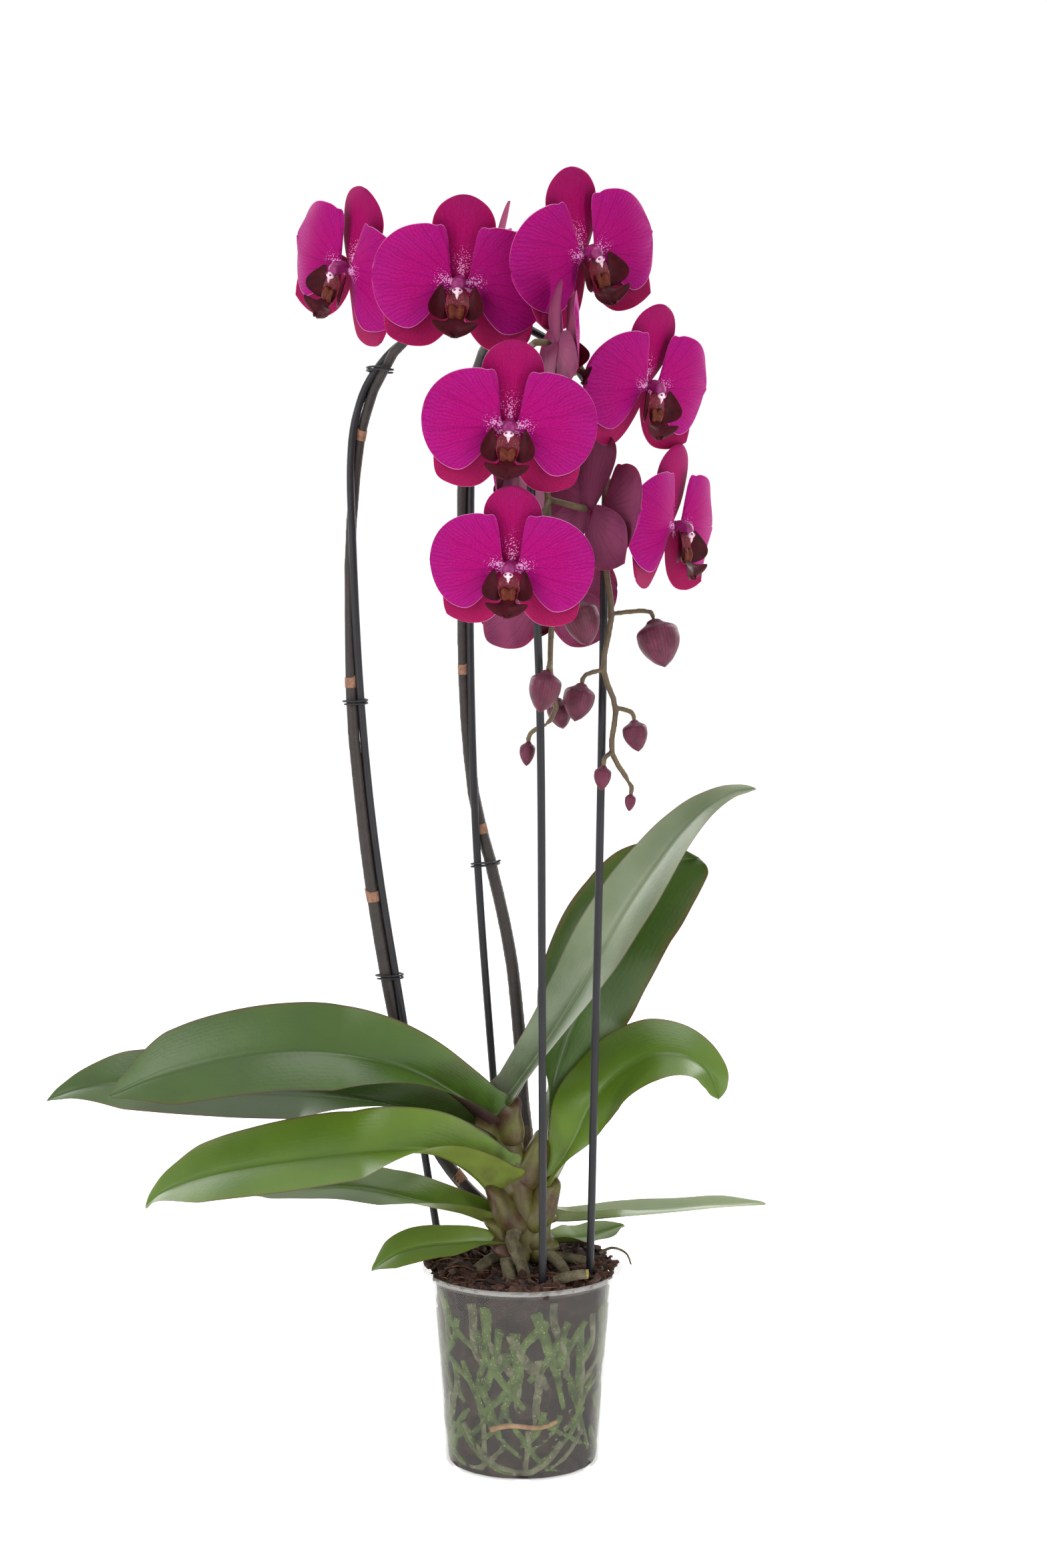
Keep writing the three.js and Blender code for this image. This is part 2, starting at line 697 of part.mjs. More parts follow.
function bark() {
  let body = solid(barkBody());
  body = body.subtract(solid(outerHoop(STAKE_RADIUS + FIT)));
  body = body.subtract(solid(innerHoop(STAKE_RADIUS + FIT)));
  for (const root of Object.values(AERIAL_ROOTS)) {
    body = body.subtract(solid(aerialRoot(root, FIT)));
  }
  body = body.subtract(solid(rod([[1, 1, 126], [0, 1, 148]], () => 9.2, 10, 5)));
  return body;
}

// ---- the whole plant ----------------------------------------------------------------
function build() {
  place("pot", pot(), look.pot());
  place("bark_mix", shape(bark()), look.bark());
  place("wall_roots", shape(wallRoots()), look.root());
  place("stake_outer", outerHoop(STAKE_RADIUS), look.stake());
  place("stake_inner", innerHoop(STAKE_RADIUS), look.stake());
  place("crown", crown(), look.crown());
  for (const [name, one] of Object.entries(LEAVES)) {
    place(name, leaf(one), look.leaf());
  }
  for (const [name, one] of Object.entries(AERIAL_ROOTS)) {
    place(name, aerialRoot(one), look.root());
  }
  const outer = [rod(OUTER_SPIKE, spikeRadius, 6, 60)];
  const inner = [rod(INNER_SPIKE, spikeRadius, 6, 54)];
  const joints = [
    [-66, -3, 668],
    [-48, -10, 681],
    [-22, -16, 688],
    [4, -27, 682],
    [40, -43, 636],
    [47, -45, 590],
    [4, -42, 656],
    [10, -62, 630],
    [13, -70, 600],
    [14.5, -70, 578],
    [14.5, -70, 578],
    [16.5, -66, 545],
  ];
  FLOWERS.forEach((flower, i) => {
    (i < 6 ? outer : inner).push(pedicel(joints[i], flower));
  });
  BUDS.forEach((one, i) => {
    (i < 5 ? outer : inner).push(budStalk(one.from, one));
  });
  place("spike_outer", shape(joined(outer)), look.spike());
  place("spike_inner", shape(joined(inner)), look.spike());
  place("clip_outer_low", clip([-75.2, 21, 290], [-84, 23, 290], 3.1), look.clip());
  place("clip_outer_middle", clip([-95.6, 20, 455], [-102.3, 21.4, 455], 3), look.clip());
  place("clip_outer_top", clip([-86.7, 13, 650], [-78.3, 7.6, 650], 3.1, [0.58, -0.2, 0.81]), look.clip());
  place("clip_inner_low", clip([-26.7, 56, 352], [-17.4, 62.3, 352], 3.6, [-0.1, 0.06, 1]), look.clip());
  FLOWERS.forEach((flower, i) => {
    place("flower_" + (i + 1) + "_tepals", tepals(flower), look.petal());
    place("flower_" + (i + 1) + "_lip", lipAndColumn(flower), look.lip());
  });
  BUDS.forEach((one, i) => {
    place("bud_" + (i + 1), bud(one), look.bud());
  });
}

build();

export default plant;
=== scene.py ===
"""Moth orchid in a clear nursery pot: its finished looks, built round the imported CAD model."""

import math

import bpy
import numpy as np
from bpy.props import FloatProperty, FloatVectorProperty, IntProperty, PointerProperty
from mathutils import Matrix, Vector


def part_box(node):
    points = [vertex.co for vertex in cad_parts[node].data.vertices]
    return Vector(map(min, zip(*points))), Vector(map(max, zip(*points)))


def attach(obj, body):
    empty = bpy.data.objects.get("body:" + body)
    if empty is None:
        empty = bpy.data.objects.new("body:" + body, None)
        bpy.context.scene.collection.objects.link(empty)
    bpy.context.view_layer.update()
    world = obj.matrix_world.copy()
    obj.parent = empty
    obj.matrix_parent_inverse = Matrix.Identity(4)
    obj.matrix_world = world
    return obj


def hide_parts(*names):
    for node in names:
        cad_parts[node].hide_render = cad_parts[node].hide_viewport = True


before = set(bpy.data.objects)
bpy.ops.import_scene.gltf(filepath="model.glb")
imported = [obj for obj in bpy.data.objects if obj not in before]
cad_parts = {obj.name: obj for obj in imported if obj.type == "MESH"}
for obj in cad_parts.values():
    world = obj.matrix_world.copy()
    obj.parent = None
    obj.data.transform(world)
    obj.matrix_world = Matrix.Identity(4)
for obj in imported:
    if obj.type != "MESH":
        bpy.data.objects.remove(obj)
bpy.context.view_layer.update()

bl_info = {
    "name": "Potted Moth Orchid",
    "version": (1, 0, 0),
    "blender": (4, 5, 0),
    "location": "View3D > Sidebar > Orchid",
    "description": "Builds a two-stem moth orchid in a clear nursery pot round its CAD model",
    "category": "Object",
}

MM = 0.001
SAME_POINT = 2e-5
FLOWERS = 12
BUDS = 9
LEAVES = [f"leaf_{side}_{i}" for side in ("left", "right") for i in range(1, 6)]
AERIAL_ROOTS = ["root_front_centre", "root_front_left", "root_left", "root_right", "root_far_right"]
CLIPS = ["clip_outer_low", "clip_outer_middle", "clip_outer_top", "clip_inner_low"]

# Where a CAD flower's own frame lies: the mean of its tepals' points, the way from there to the
# mean of its lip's points, and the way its tepals face, in millimetres in that frame.
FLOWER_MEAN = np.array([0.243, -1.644, -2.073])
FLOWER_LIP_WAY = np.array([-0.242, -4.125, 11.568])
FLOWER_FACE_WAY = np.array([0.002, -0.027, 1.0])


# ---- sizes and colours a user would change ------------------------------------------
def colour(name, description, code):
    values = [int(code[i:i + 2], 16) / 255 for i in (1, 3, 5)]
    return FloatVectorProperty(name=name, description=description, subtype="COLOR_GAMMA",
                               size=3, min=0, max=1, default=values)


def length(name, description, mm):
    return FloatProperty(name=name, description=description, unit="LENGTH", default=mm * MM)


class OrchidFlowerSizes(bpy.types.PropertyGroup):
    petal_reach: length("Petal reach", "From the flower's middle to a petal's outer edge", 51)
    sepal_reach: length("Sepal reach", "From the flower's middle to the upper sepal's tip", 49)
    thickness: length("Petal thickness", "Thickness of a petal or sepal in the middle", 0.8)
    face: colour("Petal colour", "Face of the two broad petals", "#9E0068")
    violet: colour("Petal edge colour", "Cooler shade towards the petals' edges", "#9A0C72")
    vein: colour("Vein colour", "Veins of petals and sepals", "#60043E")
    sepal: colour("Sepal colour", "Face of the lower sepals", "#98104E")
    back: colour("Petal back colour", "Back of petals and sepals", "#93486A")
    pale: colour("Base speckle colour", "Pale patch where a petal joins, and the painted glow along its rim", "#E7A3D6")
    lip: colour("Lip colour", "Lobes of the lip", "#300610")
    callus: colour("Callus colour", "Raised middle of the lip", "#6E2E10")
    cap: colour("Pollen cap colour", "Cap at the end of the column", "#F0DFE4")


class OrchidLeafSizes(bpy.types.PropertyGroup):
    thickness: length("Leaf thickness", "Thickness along the midrib", 2.4)
    top: colour("Leaf colour", "Upper face of a leaf", "#2F4616")
    under: colour("Leaf underside colour", "Lower face of a leaf", "#46601E")
    flush: colour("Flush colour", "Purple flush at a leaf's foot and edge", "#3E2024")
    sheath: colour("Sheath colour", "Leaf sheaths round the crown", "#5E5E28")


class OrchidPotSizes(bpy.types.PropertyGroup):
    wall: length("Wall", "Thickness of the pot's wall", 0.8)
    floor: length("Floor", "Thickness of the pot's floor", 0.8)
    notches: IntProperty(name="Drain notches", description="Notches round the pot's foot", default=6)
    plastic: colour("Pot colour", "Clear plastic", "#B4B2B0")
    bark: colour("Bark colour", "Bark chips", "#5C3828")
    root: colour("Root colour", "Dry aerial roots", "#6E6652")
    moist: colour("Moist root colour", "Roots inside the pot", "#586C32")
    chips: IntProperty(name="Bark chips", description="Loose chips on top", default=430, min=1)


class OrchidStemSizes(bpy.types.PropertyGroup):
    spike: colour("Stem colour", "Flower spikes", "#2B2624")
    bract: colour("Bract colour", "Papery bracts at the stem's joints", "#7A5242")
    wire: colour("Stake colour", "Coated wire of the hoops", "#17161A")
    bud: colour("Bud colour", "Closed buds", "#6A2A42")


SIZE_GROUPS = {
    "orchid_flower": OrchidFlowerSizes,
    "orchid_leaf": OrchidLeafSizes,
    "orchid_pot": OrchidPotSizes,
    "orchid_stem": OrchidStemSizes,
}


# ---- reading meshes and CAD nodes ---------------------------------------------------
def read(items, what, kind=np.float64, width=3):
    """One property of a mesh's points, faces or corners, as an array with a row for each."""
    values = np.empty(len(items) * width, kind)
    items.foreach_get(what, values)
    return values.reshape(-1, width) if width > 1 else values


def merged(node):
    """A CAD node's separate points and its triangles."""
    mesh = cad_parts[node].data
    co = read(mesh.vertices, "co")
    keys = np.round(co / SAME_POINT).astype(np.int64)
    _, first, same = np.unique(keys, axis=0, return_index=True, return_inverse=True)
    points = co[first]
    tris = same.reshape(-1)[[v for p in mesh.polygons for v in p.vertices]].reshape(-1, 3)
    good = (tris[:, 0] != tris[:, 1]) & (tris[:, 1] != tris[:, 2]) & (tris[:, 0] != tris[:, 2])
    return points, tris[good]


def rings_of(node, around):
    """The end point, the rings in order from it and the other end of a grown CAD node."""
    points, tris = merged(node)
    near = [set() for _ in points]
    for a, b, c in tris:
        near[a] |= {b, c}
        near[b] |= {a, c}
        near[c] |= {a, b}
    ends = [i for i, n in enumerate(near) if len(n) == around]
    if len(ends) != 2:
        raise RuntimeError(f"{node} has {len(ends)} ends, not 2")
    start = min(ends, key=lambda i: np.linalg.norm(points[i][:2]) + abs(points[i][2] - 0.16))
    seen = {start}
    layer = near[start]
    rings = []
    while layer:
        if len(layer) == around:
            order = [min(layer)]
            left = set(layer) - {order[0]}
            while left:
                step = [i for i in near[order[-1]] if i in left]
                order.append(step[0])
                left.discard(step[0])
            rings.append(points[order])
        seen |= layer
        layer = {j for i in layer for j in near[i]} - seen
    end = [i for i in ends if i != start][0]
    return points[start], rings, points[end]


def spine_of(node, around):
    """The middle line of a grown CAD node, from end to end, and the mean radius of each of its rings."""
    start, rings, end = rings_of(node, around)
    middles = [ring.mean(0) for ring in rings]
    sizes = [np.linalg.norm(ring - m, axis=1).mean() for ring, m in zip(rings, middles)]
    return np.array([start, *middles, end]), np.array(sizes)


def round_pot(turn, r, z):
    """Points at angles turn round the pot's axis, r from it and z high."""
    return np.stack(np.broadcast_arrays(r * np.cos(turn), r * np.sin(turn), z), -1)


def curve_through(knots, values, at):
    """Smooth values between knots, by cubic pieces whose slopes follow the neighbours."""
    knots = np.asarray(knots, float)
    values = np.asarray(values, float)
    if values.ndim == 1:
        return curve_through(knots, values[:, None], at)[..., 0]
    slopes = np.gradient(values, knots, axis=0)
    at = np.clip(np.asarray(at, float), knots[0], knots[-1])
    i = np.clip(np.searchsorted(knots, at) - 1, 0, len(knots) - 2)
    gap = (knots[i + 1] - knots[i])[:, None]
    u = ((at - knots[i])[:, None]) / gap
    a, b = values[i], values[i + 1]
    return (a * (2 * u**3 - 3 * u**2 + 1) + b * (3 * u**2 - 2 * u**3)
            + slopes[i] * gap * (u**3 - 2 * u**2 + u) + slopes[i + 1] * gap * (u**3 - u**2))


def unit(v):
    return v / np.maximum(np.linalg.norm(v, axis=-1, keepdims=True), 1e-12)


def lengths_along(points):
    steps = np.linalg.norm(np.diff(points, axis=0), axis=1)
    run = np.concatenate([[0], np.cumsum(steps)])
    return run / run[-1], run[-1]


# ---- making pieces ------------------------------------------------------------------
def clear_selection():
    bpy.ops.object.select_all(action="DESELECT")


def grown(name, around, rings, place, materials, top=None):
    """A closed grown form, shaped from a ball: place(t, across, thick) carries its points, t from one end
    to the other, (across, thick) on the unit circle. Its UV map "blade" holds t and across. Where top
    gives a direction, faces turned away from it take the second material."""
    clear_selection()
    bpy.ops.mesh.primitive_uv_sphere_add(segments=around, ring_count=rings, radius=1)
    piece = bpy.context.object
    piece.name = piece.data.name = name
    mesh = piece.data
    co = read(mesh.vertices, "co")
    t = np.arccos(np.clip(co[:, 2], -1, 1)) / math.pi
    r = np.hypot(co[:, 0], co[:, 1])
    flat = np.maximum(r, 1e-6)
    ends = r < 1e-5
    across = np.where(ends, 0, co[:, 0] / flat)
    thick = np.where(ends, 0, co[:, 1] / flat)
    new = np.asarray(place(t, across, thick), float)
    mesh.vertices.foreach_set("co", new.astype(np.float32).ravel())
    corners = read(mesh.loops, "vertex_index", np.int32, 1)
    layer = mesh.uv_layers[0]
    layer.name = "blade"
    uv = np.stack([t[corners], across[corners] / 2 + 0.5], 1)
    layer.data.foreach_set("uv", uv.astype(np.float32).ravel())
    for material in materials:
        mesh.materials.append(material)
    mesh.update()
    if inside_out(mesh):
        mesh.flip_normals()
    if top is not None:
        skin_backs(mesh, top)
    smooth(piece)
    return piece


def skin_backs(mesh, top):
    """Faces turned away from top, one direction or one for each face, take the second material."""
    side = np.sum(read(mesh.polygons, "normal", np.float32) * top, 1)
    mesh.polygons.foreach_set("material_index", (side < 0).astype(np.int32))


def inside_out(mesh):
    area = read(mesh.polygons, "area", np.float32, 1)
    middle = read(mesh.polygons, "center", np.float32)
    out = np.sum((middle - middle.mean(0)) * read(mesh.polygons, "normal", np.float32), 1)
    return float(np.sum(area * out)) < 0


def lumps(points, size, seed, waves=14):
    """Smooth random swelling, about -1 to 1, whose lumps are about size across."""
    rng = np.random.default_rng(seed)
    way = rng.normal(size=(waves, 3))
    way = way / np.linalg.norm(way, axis=1, keepdims=True) * rng.uniform(0.6, 1.9, (waves, 1)) * math.pi / size
    phase = rng.uniform(0, 2 * math.pi, waves)
    return np.sin(points @ way.T + phase).sum(1) / math.sqrt(waves)


def smooth(piece):
    piece.data.polygons.foreach_set("use_smooth", [True] * len(piece.data.polygons))
    piece.data.update()


def frames_along(points):
    """Two sideways directions at each point of a run, turning as little as they can."""
    way = unit(np.gradient(points, axis=0))
    side = np.empty_like(points)
    start = np.array([0.0, 0, 1]) if abs(way[0][2]) < 0.9 else np.array([1.0, 0, 0])
    last = start
    for i, w in enumerate(way):
        last = unit(last - w * last.dot(w))
        side[i] = last
    return side, np.cross(way, side)


def stem(name, points, radius, around, rings, material, rough=0.0, seed=0.0):
    """A round grown rod through the points; radius(t) gives its radius along it in metres."""
    run, _ = lengths_along(np.asarray(points))

    def place(t, across, thick):
        along = (t + (1 - np.cos(math.pi * t)) / 2) / 2
        line = np.linspace(0, 1, 240)
        spine = curve_through(run, points, line)
        a, b = frames_along(spine)
        size = radius(along)[:, None] * np.where(np.hypot(across, thick) > 0.5, 1, 0)[:, None]
        wobble = 1 + rough * np.sin(along * 61 + seed)[:, None] * np.cos(3 * np.arctan2(thick, across)
                                                                        + along * 17 + seed)[:, None]
        here = curve_through(line, spine, along)
        sa = unit(curve_through(line, a, along))
        sb = unit(curve_through(line, b, along))
        return here + (sa * across[:, None] + sb * thick[:, None]) * size * wobble

    return grown(name, around, rings, place, [material])


def joined(name, pieces):
    """Several made pieces as one, named as given."""
    clear_selection()
    for piece in pieces:
        piece.select_set(True)
    bpy.context.view_layer.objects.active = pieces[0]
    if len(pieces) > 1:
        bpy.ops.object.join()
    pieces[0].name = pieces[0].data.name = name
    return pieces[0]


def apply(piece, kind, **settings):
    clear_selection()
    piece.select_set(True)
    bpy.context.view_layer.objects.active = piece
    modifier = piece.modifiers.new(kind.title(), kind)
    for key, value in settings.items():
        setattr(modifier, key, value)
    bpy.ops.object.modifier_apply(modifier=modifier.name)


def copy_of(node, name, material):
    """A copy of a CAD node's mesh with its loose triangles merged."""
    clear_selection()
    bpy.ops.mesh.primitive_cube_add(size=MM)
    piece = bpy.context.object
    piece.name = name
    old = piece.data
    piece.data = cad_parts[node].data.copy()
    piece.data.name = name
    bpy.data.meshes.remove(old)
    piece.data.materials.clear()
    piece.data.materials.append(material)
    bpy.ops.object.mode_set(mode="EDIT")
    bpy.ops.mesh.select_all(action="SELECT")
    bpy.ops.mesh.remove_doubles(threshold=SAME_POINT)
    bpy.ops.object.mode_set(mode="OBJECT")
    return piece


def settle(piece, slot, *nodes):
    """The piece rides with the plant and stands for CAD nodes, which it hides; slot is not used."""
    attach(piece, "root")
    if nodes:
        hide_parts(*nodes)


# ---- materials ----------------------------------------------------------------------
def linear(values):
    """An sRGB colour, as a hex code or three numbers, as the linear colour a shader takes."""
    if isinstance(values, str):
        values = [int(values[i:i + 2], 16) / 255 for i in (1, 3, 5)]
    return [v / 12.92 if v <= 0.04045 else ((v + 0.055) / 1.055) ** 2.4 for v in values] + [1.0]


def adder(tree):
    """The function that adds a node to this tree."""
    def add(kind, links=None, out=0, **settings):
        """Adds a node with its settings, gives each named socket its value or link, returns an output."""
        n = tree.nodes.new("ShaderNode" + kind)
        for key, value in settings.items():
            setattr(n, key, value)
        for key, value in (links or {}).items():
            if isinstance(value, bpy.types.NodeSocket):
                tree.links.new(value, n.inputs[key])
            else:
                n.inputs[key].default_value = value
        return n.outputs[out]
    return add


OBJECT = 3  # the Texture Coordinate node's Object output


def finish_of(name, **sockets):
    """A new material, the function that adds its nodes, and its shader with those sockets set."""
    made = bpy.data.materials.new(name)
    made.use_nodes = True
    shader = made.node_tree.nodes["Principled BSDF"]
    for key, value in sockets.items():
        shader.inputs[key.replace("_", " ")].default_value = value
    return made, adder(made.node_tree), shader


def drive(shader, **links):
    """Links each output to the shader's socket of that name."""
    for key, value in links.items():
        shader.id_data.links.new(value, shader.inputs[key.replace("_", " ")])


def mix(add, factor, a, b):
    return add("Mix", {"Factor": factor, 6: a, 7: b}, out=2, data_type="RGBA")


def tepal_material(name, face, vein, edge, pale, patch_mm, patch_angle, gap):
    """Live orchid petal: thin cells full of pigment, veins fanning from the claw, and a pale rim painted as a
    glow of light shining through the thin edge.
    """
    made, add, shader = finish_of(name, Roughness=0.6, Specular_IOR_Level=0.06, Subsurface_Weight=0.12,
                                  Subsurface_Scale=2 * MM)
    # UV map "fan" holds the angle from the petal's axis, in radians, and the distance from the claw, in mm
    fan = add("SeparateXYZ", {0: add("UVMap", uv_map="fan")})
    out = fan.node.outputs[1]
    blade = add("SeparateXYZ", {0: add("UVMap", uv_map="blade")})
    place = add("TexCoord", out=OBJECT)
    blur = add("TexNoise", {"Vector": place, "Scale": 1 / (8 * MM), "Detail": 3.0})
    sway = add("Math", {0: blur, 1: 0.13, 2: fan}, operation="MULTIPLY_ADD")
    # a few strong veins and, further out, many fine ones between them
    lines = []
    for apart, width in ((gap, 0.07), (gap / 4.6, 0.24)):
        count = add("Math", {0: sway, 1: 1 / apart}, operation="MULTIPLY")
        fold = add("Math", {0: count, 1: 0.5}, operation="PINGPONG")
        lines.append(add("MapRange", {0: fold, 1: 0.0, 2: width, 3: 1.0, 4: 0.0}))
    far = add("MapRange", {0: out, 1: 12.0, 2: 34.0, 3: 0.0, 4: 0.45})
    fine = add("Math", {0: lines[1], 1: far}, operation="MULTIPLY")
    fade = add("MapRange", {0: out, 1: 10.0, 2: 46.0, 3: 0.85, 4: 0.2})
    main = add("Math", {0: lines[0], 1: fade}, operation="MULTIPLY")
    drawn = add("Math", {0: main, 1: fine}, operation="MAXIMUM")
    # the surface cells show as a grain of about a millimetre
    grain = add("TexNoise", {"Vector": place, "Scale": 1 / (0.9 * MM), "Detail": 2.0})
    off = add("Math", {0: blade.node.outputs[1], 1: -0.5}, operation="ADD")
    off = add("Math", {0: off}, operation="ABSOLUTE")
    # the cooler shade lies along the sides and beyond 30 mm, in soft clouds
    side = add("MapRange", {0: off, 1: 0.15, 2: 0.46, 3: 0.0, 4: 0.95})
    tip = add("MapRange", {0: out, 1: 30.0, 2: 50.0, 3: 0.0, 4: 0.95})
    outer = add("Math", {0: side, 1: tip}, operation="MAXIMUM")
    cloud = add("MapRange", {0: blur, 1: 0.3, 2: 0.7, 3: 0.5, 4: 1.2})
    outer = add("Math", {0: outer, 1: cloud}, operation="MULTIPLY", use_clamp=True)
    base = mix(add, outer, face, edge)
    soft = add("MapRange", {0: grain, 1: 0.4, 2: 0.75, 3: 0.0, 4: 0.02})
    base = mix(add, soft, base, pale)
    base = mix(add, drawn, base, vein)
    if patch_mm:
        # pale speckles of about a millimetre crowd towards the claw and along the axis
        spots = add("TexVoronoi", {"Vector": place, "Scale": 1 / (0.95 * MM)})
        inner = add("MapRange", {0: out, 1: 3.0, 2: patch_mm, 3: 0.82, 4: 0.0})
        wide = add("Math", {0: fan}, operation="ABSOLUTE")
        middle = add("MapRange", {0: wide, 1: 0.0, 2: patch_angle, 3: 22.0 / (patch_mm + 2.0), 4: 0.0})
        limit = add("Math", {0: inner, 1: middle}, operation="MULTIPLY")
        speck = add("Math", {0: spots, 1: limit}, operation="LESS_THAN")
        base = mix(add, speck, base, pale)
        # darker dots of the petal's own colour among them
        dots = add("TexVoronoi", {"Vector": place, "Scale": 1 / (1.9 * MM)})
        dots = add("Math", {0: dots, 1: 0.26}, operation="LESS_THAN")
        near = add("Math", {0: limit, 1: 0.28}, operation="GREATER_THAN")
        dots = add("Math", {0: dots, 1: near}, operation="MULTIPLY")
        base = mix(add, dots, base, face)
    # the thin rim, about a third of a millimetre, is painted pale: a painted glow of light shining through the
    # edge
    rim = add("MapRange", {0: off, 1: 0.493, 2: 0.498, 3: 0.0, 4: 0.7})
    base = mix(add, rim, base, pale)
    height = add("Math", {0: grain, 1: 0.5}, operation="MULTIPLY")
    height = add("Math", {0: height, 1: drawn}, operation="SUBTRACT")
    bump = add("Bump", {"Height": height, "Strength": 0.1, "Distance": 0.4 * MM})
    drive(shader, Base_Color=base, Normal=bump)
    return made


def plain_live_material(name, low, high, grain_mm, roughness, bump_mm, spot=None, spot_mm=2.0, coat=0.0,
                        gloss=0.35, ribs=None):
    """Living or woody skin: two mottled shades, a fine bump, and spots or long ribs where it has them."""
    made, add, shader = finish_of(name, Roughness=roughness, Specular_IOR_Level=gloss, Coat_Weight=coat,
                                  Coat_Roughness=0.3)
    place = add("TexCoord", out=OBJECT)
    patches = add("TexNoise", {"Vector": place, "Scale": 1 / (grain_mm * MM), "Detail": 6.0,
                               "Roughness": 0.62})
    patches = add("MapRange", {0: patches, 1: 0.35, 2: 0.65, 3: 0.0, 4: 1.0})
    base = mix(add, patches, low, high)
    if spot:
        cells = add("TexVoronoi", {"Vector": place, "Scale": 1 / (spot_mm * MM)})
        cells = add("MapRange", {0: cells, 1: 0.12, 2: 0.2, 3: 0.85, 4: 0.0})
        base = mix(add, cells, base, spot)
    if ribs:
        blade = add("SeparateXYZ", {0: add("UVMap", uv_map="blade")})
        line = add("Math", {0: patches, 1: 0.02, 2: blade.node.outputs[1]}, operation="MULTIPLY_ADD")
        line = add("Math", {0: line, 1: 11.0}, operation="MULTIPLY")
        line = add("Math", {0: line, 1: 0.5}, operation="PINGPONG")
        line = add("MapRange", {0: line, 1: 0.0, 2: 0.22, 3: 0.6, 4: 0.0})
        base = mix(add, line, base, ribs)
    fine = add("TexNoise", {"Vector": place, "Scale": 1 / (bump_mm * MM), "Detail": 5.0})
    bump = add("Bump", {"Height": fine, "Strength": 0.5, "Distance": bump_mm * MM * 0.3})
    drive(shader, Base_Color=base, Normal=bump)
    return made


def leaf_material(name, body, light, flush, under):
    """Moth-orchid leaf: thick, waxy cuticle over parallel veins, purple along the edge and foot, and lighter
    towards the foot, where a glow of light through the blade is painted.
    """
    made, add, shader = finish_of(name, Roughness=0.55 if under else 0.38, Specular_IOR_Level=0.4,
                                  Coat_Weight=0.1, Coat_Roughness=0.3, Subsurface_Weight=0.05,
                                  Subsurface_Scale=2 * MM)
    t = add("SeparateXYZ", {0: add("UVMap", uv_map="blade")})
    s = t.node.outputs[1]
    place = add("TexCoord", out=OBJECT)
    cloud = add("TexNoise", {"Vector": place, "Scale": 1 / (34 * MM), "Detail": 4.0})
    cloud = add("MapRange", {0: cloud, 1: 0.3, 2: 0.7, 3: 0.0, 4: 1.0})
    # towards the foot, among random clouds of tone, the colour blends to the second colour; where that is a
    # lighter green, it is a painted glow of light shining through the blade
    foot = add("MapRange", {0: t, 1: 0.05, 2: 0.5, 3: 0.9, 4: 0.1})
    tone_and_painted_glow = add("Math", {0: cloud, 1: 0.4, 2: foot}, operation="MULTIPLY_ADD")
    base = mix(add, tone_and_painted_glow, body, light)
    # parallel veins about every two millimetres, and a groove along the midrib
    drift = add("Math", {0: cloud, 1: 0.05, 2: s}, operation="MULTIPLY_ADD")
    veins = add("Math", {0: drift, 1: 22.0}, operation="MULTIPLY")
    veins = add("Math", {0: veins, 1: 0.5}, operation="PINGPONG")
    groove = add("Math", {0: s, 1: 0.5}, operation="SUBTRACT")
    groove = add("Math", {0: groove}, operation="ABSOLUTE")
    middle = add("MapRange", {0: groove, 1: 0.0, 2: 0.02, 3: 0.5, 4: 0.0})
    base = mix(add, middle, base, light if under else body)
    edge = add("MapRange", {0: groove, 1: 0.475, 2: 0.5, 3: 0.0, 4: 0.9})
    base = mix(add, edge, base, flush)
    stain = add("TexNoise", {"Vector": place, "Scale": 1 / (16 * MM), "Detail": 5.0})
    stain = add("MapRange", {0: stain, 1: 0.42, 2: 0.62, 3: 0.0, 4: 1.0})
    near = add("MapRange", {0: t, 1: 0.02, 2: 0.3, 3: 0.55, 4: 0.0})
    stain = add("Math", {0: stain, 1: near}, operation="MULTIPLY")
    base = mix(add, stain, base, flush)
    # shallow pits between the veins break up the shine
    pits = add("TexNoise", {"Vector": place, "Scale": 1 / (2.4 * MM), "Detail": 4.0})
    height = add("Math", {0: veins, 1: 0.35, 2: pits}, operation="MULTIPLY_ADD")
    bump = add("Bump", {"Height": height, "Strength": 0.24, "Distance": 0.6 * MM})
    drive(shader, Base_Color=base, Normal=bump)
    return made


def clear_pot_material(colour_of_pot):
    """Thin clear polypropylene, injection moulded: see-through, glossy, a little cloudy with scuffs."""
    made, add, shader = finish_of("clear polypropylene, moulded", Roughness=0.1, IOR=1.49)
    # the wall is clear face on and cloudy where it curves away
    facing = add("LayerWeight", {"Blend": 0.5}, out=1)
    cloudy = add("MapRange", {0: facing, 1: 0.5, 2: 0.96, 3: 0.06, 4: 0.45})
    film = add("TexNoise", {"Vector": add("TexCoord", out=OBJECT), "Scale": 1 / (22 * MM), "Detail": 5.0})
    base = mix(add, film, colour_of_pot, linear("#8E8880"))
    smear = add("MapRange", {0: film, 1: 0.3, 2: 0.7, 3: 0.06, 4: 0.22})
    bump = add("Bump", {"Height": film, "Strength": 0.12, "Distance": 0.4 * MM})
    drive(shader, Base_Color=base, Roughness=smear, Alpha=cloudy, Normal=bump)
    return made


def frosted_rim_material():
    """The same polypropylene where the mould was textured: cloudy and matt."""
    made, add, shader = finish_of("frosted polypropylene rim", Roughness=0.45, Alpha=0.38, IOR=1.49)
    grain = add("TexNoise", {"Vector": add("TexCoord", out=OBJECT), "Scale": 1 / (3 * MM), "Detail": 5.0})
    base = mix(add, grain, linear("#C4C2BE"), linear("#A8A6A2"))
    bump = add("Bump", {"Height": grain, "Strength": 0.2, "Distance": 0.3 * MM})
    drive(shader, Base_Color=base, Normal=bump)
    return made


